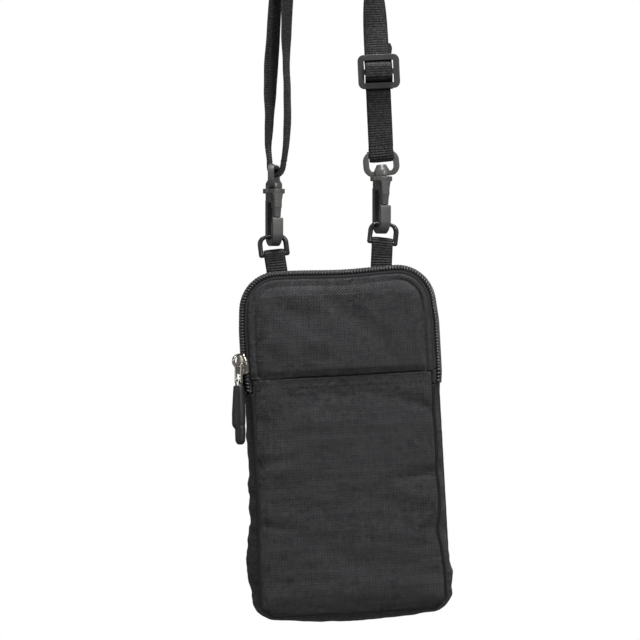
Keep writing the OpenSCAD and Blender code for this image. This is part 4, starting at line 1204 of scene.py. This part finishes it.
GATE_NARROWING = 0.16
gate_front_rings = [(9.9, 1.35, 1.65), (10.1, 1.5, 1.75), (12, 1.55, 1.78), (14, 1.7, 1.88),
                    (14.8, 1.75, 1.95), (14.9, 1.7, 1.9)]
gate_root_rings = [(15.0, 1.9), (15.2, 2.0), (17, 2.08), (19, 2.25), (21, 2.6), (22.2, 2.9),
                   (22.35, 2.9)]
for side, sign in SIDES:
    middle = HOOK_X * sign
    softened("snap_hook_" + side, "hook_" + side, 0.4, *MOULDED, "strap", 3,
             reshape=broader(sign, hook_share))
    root = [oval(1.5, half, 7, z, 24, 4.9 + 0.02 * (z - 15)) for z, half in gate_root_rings]
    rib = [oval(0.3, 0.4, 4, z, 12, -2.95, -0.3) for z in (2.2, 2.6, 17.4, 17.8)]
    lofted("gate_root_" + side, [root, rib], hook_place(sign), *MOULDED, "strap")
    softened("spring_gate_" + side, "gate_" + side, 0.3, *MOULDED, "gate_" + side,
             reshape=broader(sign, lambda x, z: -GATE_NARROWING))
    front = [oval(depth, half, 7, z, 24, 2.8 + depth) for z, depth, half in gate_front_rings]
    lofted("gate_front_" + side, [front], hook_place(sign), *MOULDED, "gate_" + side)
    softened("swivel_eye_" + side, "eye_" + side, 0.6, *MOULDED, "eye_" + side, 3,
             nudge=settle["eye_" + side],
             reshape=fuller_sides(middle, 5.0, 0.35) if side == "right" else None)
    softened("ring_" + side, "d_ring_" + side, 0.05, ring_black, "ring_metal",
             "ring_" + side, nudge=settle["ring_" + side],
             reshape=fuller_sides(middle, 4.6, 0.35))
softened("strap_adjuster", "adjuster", 0.9, adjuster_black, "hook_plastic", "adjuster", 4,
         nudge=Matrix.Translation((0.0006, 0, 0)))


# The tabs. A short length of ribbed webbing is folded over the bar of each ring, and both
# ends are sewn into the top seam behind the zip.
WEB_T, RIB = 1.25, 1.25


def ribbed_webbing(name, colour, rib):
    """Nylon webbing with cross ribs, each broken up by the threads that bind it; painted shade
    darkens the grooves between the ribs.
    """
    cloth = Finish(name, 0.62, colour, Sheen_Weight=0.03, Sheen_Roughness=0.4,
                   Specular_IOR_Level=0.25)
    across, along = cloth.on_cloth()
    wander = cloth.noise(cloth.in_space(), 3.0, 2) * 0.5
    phase = along / rib + wander
    rise = phase.ripple()
    stitch = (across / 0.85 + phase.apply("FLOOR") * 0.5).ripple()
    glint = cloth.speck(across / 0.85, phase)
    # Rib crests and the crowns of the binding threads are painted lighter and the grooves
    # darker: painted highlight and painted shade.
    cloth.shade(rise * 0.7 + stitch * 0.4 + glint * 0.5 - 0.55, 0.0, 3.2)
    cloth.rough(0.74 - rise * 0.2)
    cloth.relief(stitch * 0.5 + glint * 0.3 + rise, 0.14)
    return cloth.material


webbing_black = ribbed_webbing("black_webbing", (0.0152, 0.0145, 0.0148), RIB)


def along(line, spacing):
    """Even stations on a line of (point, across, face) triples, with their lengths."""
    run = [0.0]
    for here, there in zip(line, line[1:]):
        run.append(run[-1] + (there[0] - here[0]).length)
    count = max(2, round(run[-1] / spacing))
    stations, k = [], 0
    for i in range(count + 1):
        s = run[-1] * i / count
        while k < len(line) - 2 and s > run[k + 1]:
            k += 1
        t = (s - run[k]) / max(run[k + 1] - run[k], 1e-9)
        mixed = [line[k][m].lerp(line[k + 1][m], t) for m in range(3)]
        stations.append((mixed[0], mixed[1].normalized(), mixed[2].normalized(), s))
    return stations


def webbing(name, line, width, thick, place, body, start=0.0, rib=RIB, seed=0.0):
    """A flat woven strap along a line, with its ribs in the mesh."""
    stations = along(line, rib / 4)
    cells = 12
    spread = [-1 + 2 * k / cells for k in range(cells + 1)]
    ring = [(a, 1) for a in spread] + [(a, -1) for a in reversed(spread)]
    points, cloth_map = [], []
    for point, across, face, s in stations:
        for a, up in ring:
            wobble = 0.22 * wave(a * 2.2 + seed, (s + start) / 6, up)
            rise = abs(math.sin(math.pi * ((s + start) / rib + wobble)))
            edge = 1 - 0.55 * abs(a) ** 6
            high = thick / 2 * edge + 0.22 * (rise - 0.6) * (1 - abs(a) ** 8)
            out = width / 2 * a * (1 + 0.012 * (rise - 0.5))
            points.append(place @ (point + across * out + face * (up * high)))
            cloth_map.append((a * width / 2 + up * 40, s + start))
    return add_piece(name, points, tube_faces(len(stations), len(ring)), cloth_map,
                     webbing_black, "webbing", body)


X_AXIS, Y_AXIS, Z_AXIS = Vector((1, 0, 0)), Vector((0, 1, 0)), Vector((0, 0, 1))


def tab_line(bar, end, radius):
    """Line up from the seam, over a ring's bar and down again behind, on the pouch."""
    tilt = (bar.to_3x3() @ X_AXIS).normalized()
    centre, up = bar.translation, (bar.to_3x3() @ Z_AXIS).normalized()
    line = []
    for k in range(17):
        a = math.pi * k / 16
        face = Vector((0, -math.cos(a), 0)) + up * math.sin(a)
        line.append((centre + face * radius, tilt, face))
    front, back = ((Vector((end[0], centre.y + side * radius, end[1])), X_AXIS,
                    Y_AXIS * side) for side in (-1, 1))
    return [front] + line + [back]


for (side, sign), foot in zip(SIDES, ((-29.6, 84.5), (23.2, 84.5))):
    bar = Matrix.Translation((-2.3, 1.5, 99.25)) @ turned("Y", -3.4)
    bar = pouch_frame @ bar @ Matrix.Translation((27.95 * sign, 0, 0))
    bar = pouch_frame.inverted() @ settle["ring_" + side] @ bar
    tab = webbing("tab_webbing_" + side, tab_line(bar, foot, 2.0), 10.9, WEB_T, pouch_frame,
                  "pouch", seed=sign, rib=1.4)
    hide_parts("tab_" + side)


# The strap. Half-inch webbing comes down from the arch on the right through the adjuster,
# round the eye and back up to its cut end; on the left it is sewn to itself over the eye.
ARCH_R, STRAP_W, STRAP_T, STRAND_Y, LAP_H = 22.0, 12.7, 1.3, 2.25, 12
EYE_Z = {-1: -139.112, 1: -132.688}
LEAN = {-1: 2.490, 1: 2.633}
LEFT_LENGTH = 118.208
eye_frame = {s: metres @ Matrix.Translation((s * HOOK_X, 0, EYE_Z[s])) for s in (-1, 1)}
side_frame = {s: eye_frame[s] @ turned("Y", -s * LEAN[s]) for s in (-1, 1)}
glide_frame = side_frame[1] @ Matrix.Translation((0, -4.5, 42.5))


def around_z(vector, degrees):
    return turned("Z", degrees).to_3x3() @ vector


def bent(knots, out=1):
    """Line through knots of (depth, height), its face turned to the left of its run, or
    to the right where out is -1."""
    line = []
    for k, (y, z) in enumerate(knots):
        (y0, z0), (y1, z1) = knots[max(k - 1, 0)], knots[min(k + 1, len(knots) - 1)]
        face = Vector((0, out * (z1 - z0), out * (y0 - y1))).normalized()
        line.append((Vector((0, y, z)), X_AXIS, face))
    return line


# Turns in degrees, and the height where the bends under the eyes end.
EYE_TURN, EYE_TILT, SLACK_TURN, LAP_TURN = 80, -5, 12, 66
BEND_TOP = 3.3
bend_knots = {-1: [(-5.2, 3.4), (-5.0, 1.0), (-4.5, -1.2), (-3.5, -3.2), (-2.2, -4.4),
                   (-0.8, -4.8), (0.6, -4.4), (1.6, -3.2), (2.1, -1.4), (2.25, 1.0),
                   (2.25, 3.4)],
              1: [(-2.25, 3.4), (-2.25, 0.5), (-2.2, -1.2), (-1.8, -2.4), (-1.0, -3.2),
                  (0, -3.45), (1.0, -3.2), (1.8, -2.4), (2.2, -1.2), (2.25, 0.5),
                  (2.25, 3.4)]}
for (side, sign), turn in zip(SIDES, (turned("Z", EYE_TURN), turned("Y", EYE_TILT))):
    bend = webbing("webbing_under_eye_" + side, bent(bend_knots[sign]), STRAP_W, WEB_T,
                   eye_frame[sign] @ turn, "eye_" + side, seed=3 * sign)
    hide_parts("bend_" + side)


def straight(z0, z1, face, tilt=0.0):
    """Webbing up the right side, its lower end rolled a little to lie true on the eye."""
    line = []
    for t in steps(8):
        roll = turned("Y", tilt * (1 - ease(t))).to_3x3()
        line.append((Vector((0, face * STRAND_Y, z0 + (z1 - z0) * t)), roll @ X_AXIS,
                     Vector((0, face, 0))))
    return line


def joined(piece):
    """Takes a length of the strap off its body and fixes it where it hangs."""
    piece.parent = None
    del piece["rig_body"]
    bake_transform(piece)


def on_right(name, line, seed, start=0.0):
    return webbing(name, line, STRAP_W, WEB_T, side_frame[1], "strap", start=start, seed=seed)


front_low = on_right("strap_front_low", straight(BEND_TOP, 15.3, -1, EYE_TILT), 5)
joined(front_low)
front_high = on_right("strap_front_high", straight(15.3, 33.3, -1), 5, 12)
joined(front_high)
return_low = on_right("strap_return_low", straight(BEND_TOP, 22, 1, EYE_TILT), 7)
joined(return_low)
tail = [(Vector(spot), X_AXIS, Y_AXIS)
        for spot in ((1.3, 2.35, 51.5), (1.9, 2.5, 55), (1.1, 2.6, 57.5))]
return_high = on_right("strap_return_tail", straight(22, 48, 1) + tail, 7, 18.75)
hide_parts("strap_return")
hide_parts("strap_front")

LAY = 4.5 - STRAND_Y
CREST = -3.65
weave_line = bent([(LAY, -9.1), (LAY, -6.2), (LAY - 0.5, -5.2), (CREST + 0.9, -3.6),
                   (CREST, -2.6), (CREST, 2.6), (CREST + 0.9, 3.6), (LAY - 0.5, 5.2),
                   (LAY, 6.2), (LAY, 9.1)], -1)
weave = webbing("strap_through_adjuster", weave_line, STRAP_W + 1.4, 1.2,
                glide_frame @ Matrix.Translation((0.5, 0, 0)), "adjuster", start=30.05, seed=5)
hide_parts("strap_weave")
loop_line = [(Vector((0, 5.9, -2.05)), X_AXIS, -Z_AXIS)]
for k in range(9):
    a = math.pi * k / 8
    face = Vector((0, -math.sin(a), -math.cos(a)))
    loop_line.append((Vector((0, face.y * 2.0 - 0.25, face.z * 2.05)), X_AXIS, face))
loop_line.append((Vector((0, 5.9, 2.05)), X_AXIS, Z_AXIS))
end_loop = webbing("strap_end_on_adjuster", loop_line, STRAP_W, 1.15, glide_frame,
                   "adjuster", seed=8)
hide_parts("strap_end_loop")

slack_line = [(Vector((0, y, z)), around_z(X_AXIS, turn), around_z(-Y_AXIS, turn))
              for y, z, turn in ((-STRAND_Y, 51.6, 0), (-1.1, 58.6, 4), (0, 65.9, SLACK_TURN))]
slack = on_right("strap_above_adjuster", slack_line, 5, 51)
joined(slack)
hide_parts("strap_slack")

lap_start = LEFT_LENGTH - LAP_H
to_right = side_frame[1].inverted() @ metres
turn_right = to_right.to_3x3()
upper_line = []
for t in steps(24):
    turn = SLACK_TURN + (90 - SLACK_TURN) * (0.6 * t + 0.4 * ease(t))
    upper_line.append((Vector((0, 0, 65.8 + 46.0 * t)), around_z(X_AXIS, turn),
                       around_z(-Y_AXIS, turn)))
arch_points = 28
for k in range(1, arch_points + 1):
    a = math.radians(LEAN[1] + (180 - LEAN[1] - LEAN[-1]) * k / arch_points)
    face = Vector((math.cos(a), 0, math.sin(a)))
    spot = Vector((0, 0, -ARCH_R)) + face * (ARCH_R + STRAP_T / 2)
    upper_line.append((to_right @ spot, (turn_right @ Y_AXIS).normalized(),
                       (turn_right @ face).normalized()))
upper = on_right("strap_over_arch", upper_line, 5, 65.9)
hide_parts("strap_arch", "strap_twist")


# Left side, by height over the eye: where each strand runs to the side, and its turn.
strand_side = {-1: [(BEND_TOP, -2.216), (9, -3.5), (24, -3.4), (40, -3.7), (53, -3.75),
                    (66, -3.3), (90, -3.1), (lap_start, -0.6)],
               1: [(BEND_TOP, 5.12), (12, 5.9), (24, 6.0), (40, 5.2), (53, 4.1), (66, 3.5),
                   (90, 3.1), (lap_start, 0.6)]}
strand_turn = {-1: [(BEND_TOP, EYE_TURN), (24, 72), (40, 62), (53, 58), (70, 60),
                    (lap_start, LAP_TURN)],
               1: [(BEND_TOP, EYE_TURN), (24, 75), (53, 76), (70, 68), (90, 63),
                   (lap_start, LAP_TURN)]}


def strand_point(s, sign):
    side = sum(through(strand_side[sign], s + d) for d in (-3, -1, 1, 3)) / 4
    turn = through(strand_turn[sign], s)
    return Vector((side, -side / math.tan(math.radians(turn)), s))


for name, sign in (("strap_left_outer", -1), ("strap_left_inner", 1)):
    line = []
    for k in range(60):
        s = BEND_TOP + (lap_start - BEND_TOP) * k / 59
        way = (strand_point(s + 0.4, sign) - strand_point(s - 0.4, sign)).normalized()
        across = around_z(X_AXIS, through(strand_turn[sign], s))
        line.append((strand_point(s, sign), across, across.cross(way) * sign))
    for t in steps(8, 1):
        turn = LAP_TURN + (90 - LAP_TURN) * t
        line.append((around_z(Vector((0, -sign * STRAP_T / 2, 0)), turn)
                     + Vector((0, 0, lap_start + LAP_H * t)), around_z(X_AXIS, turn),
                     around_z(Vector((0, -sign, 0)), turn)))
    piece = webbing(name, line, STRAP_W, WEB_T, side_frame[-1], "strap", seed=11 * sign)
    joined(piece)
    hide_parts("strap_strands", "strap_lap")
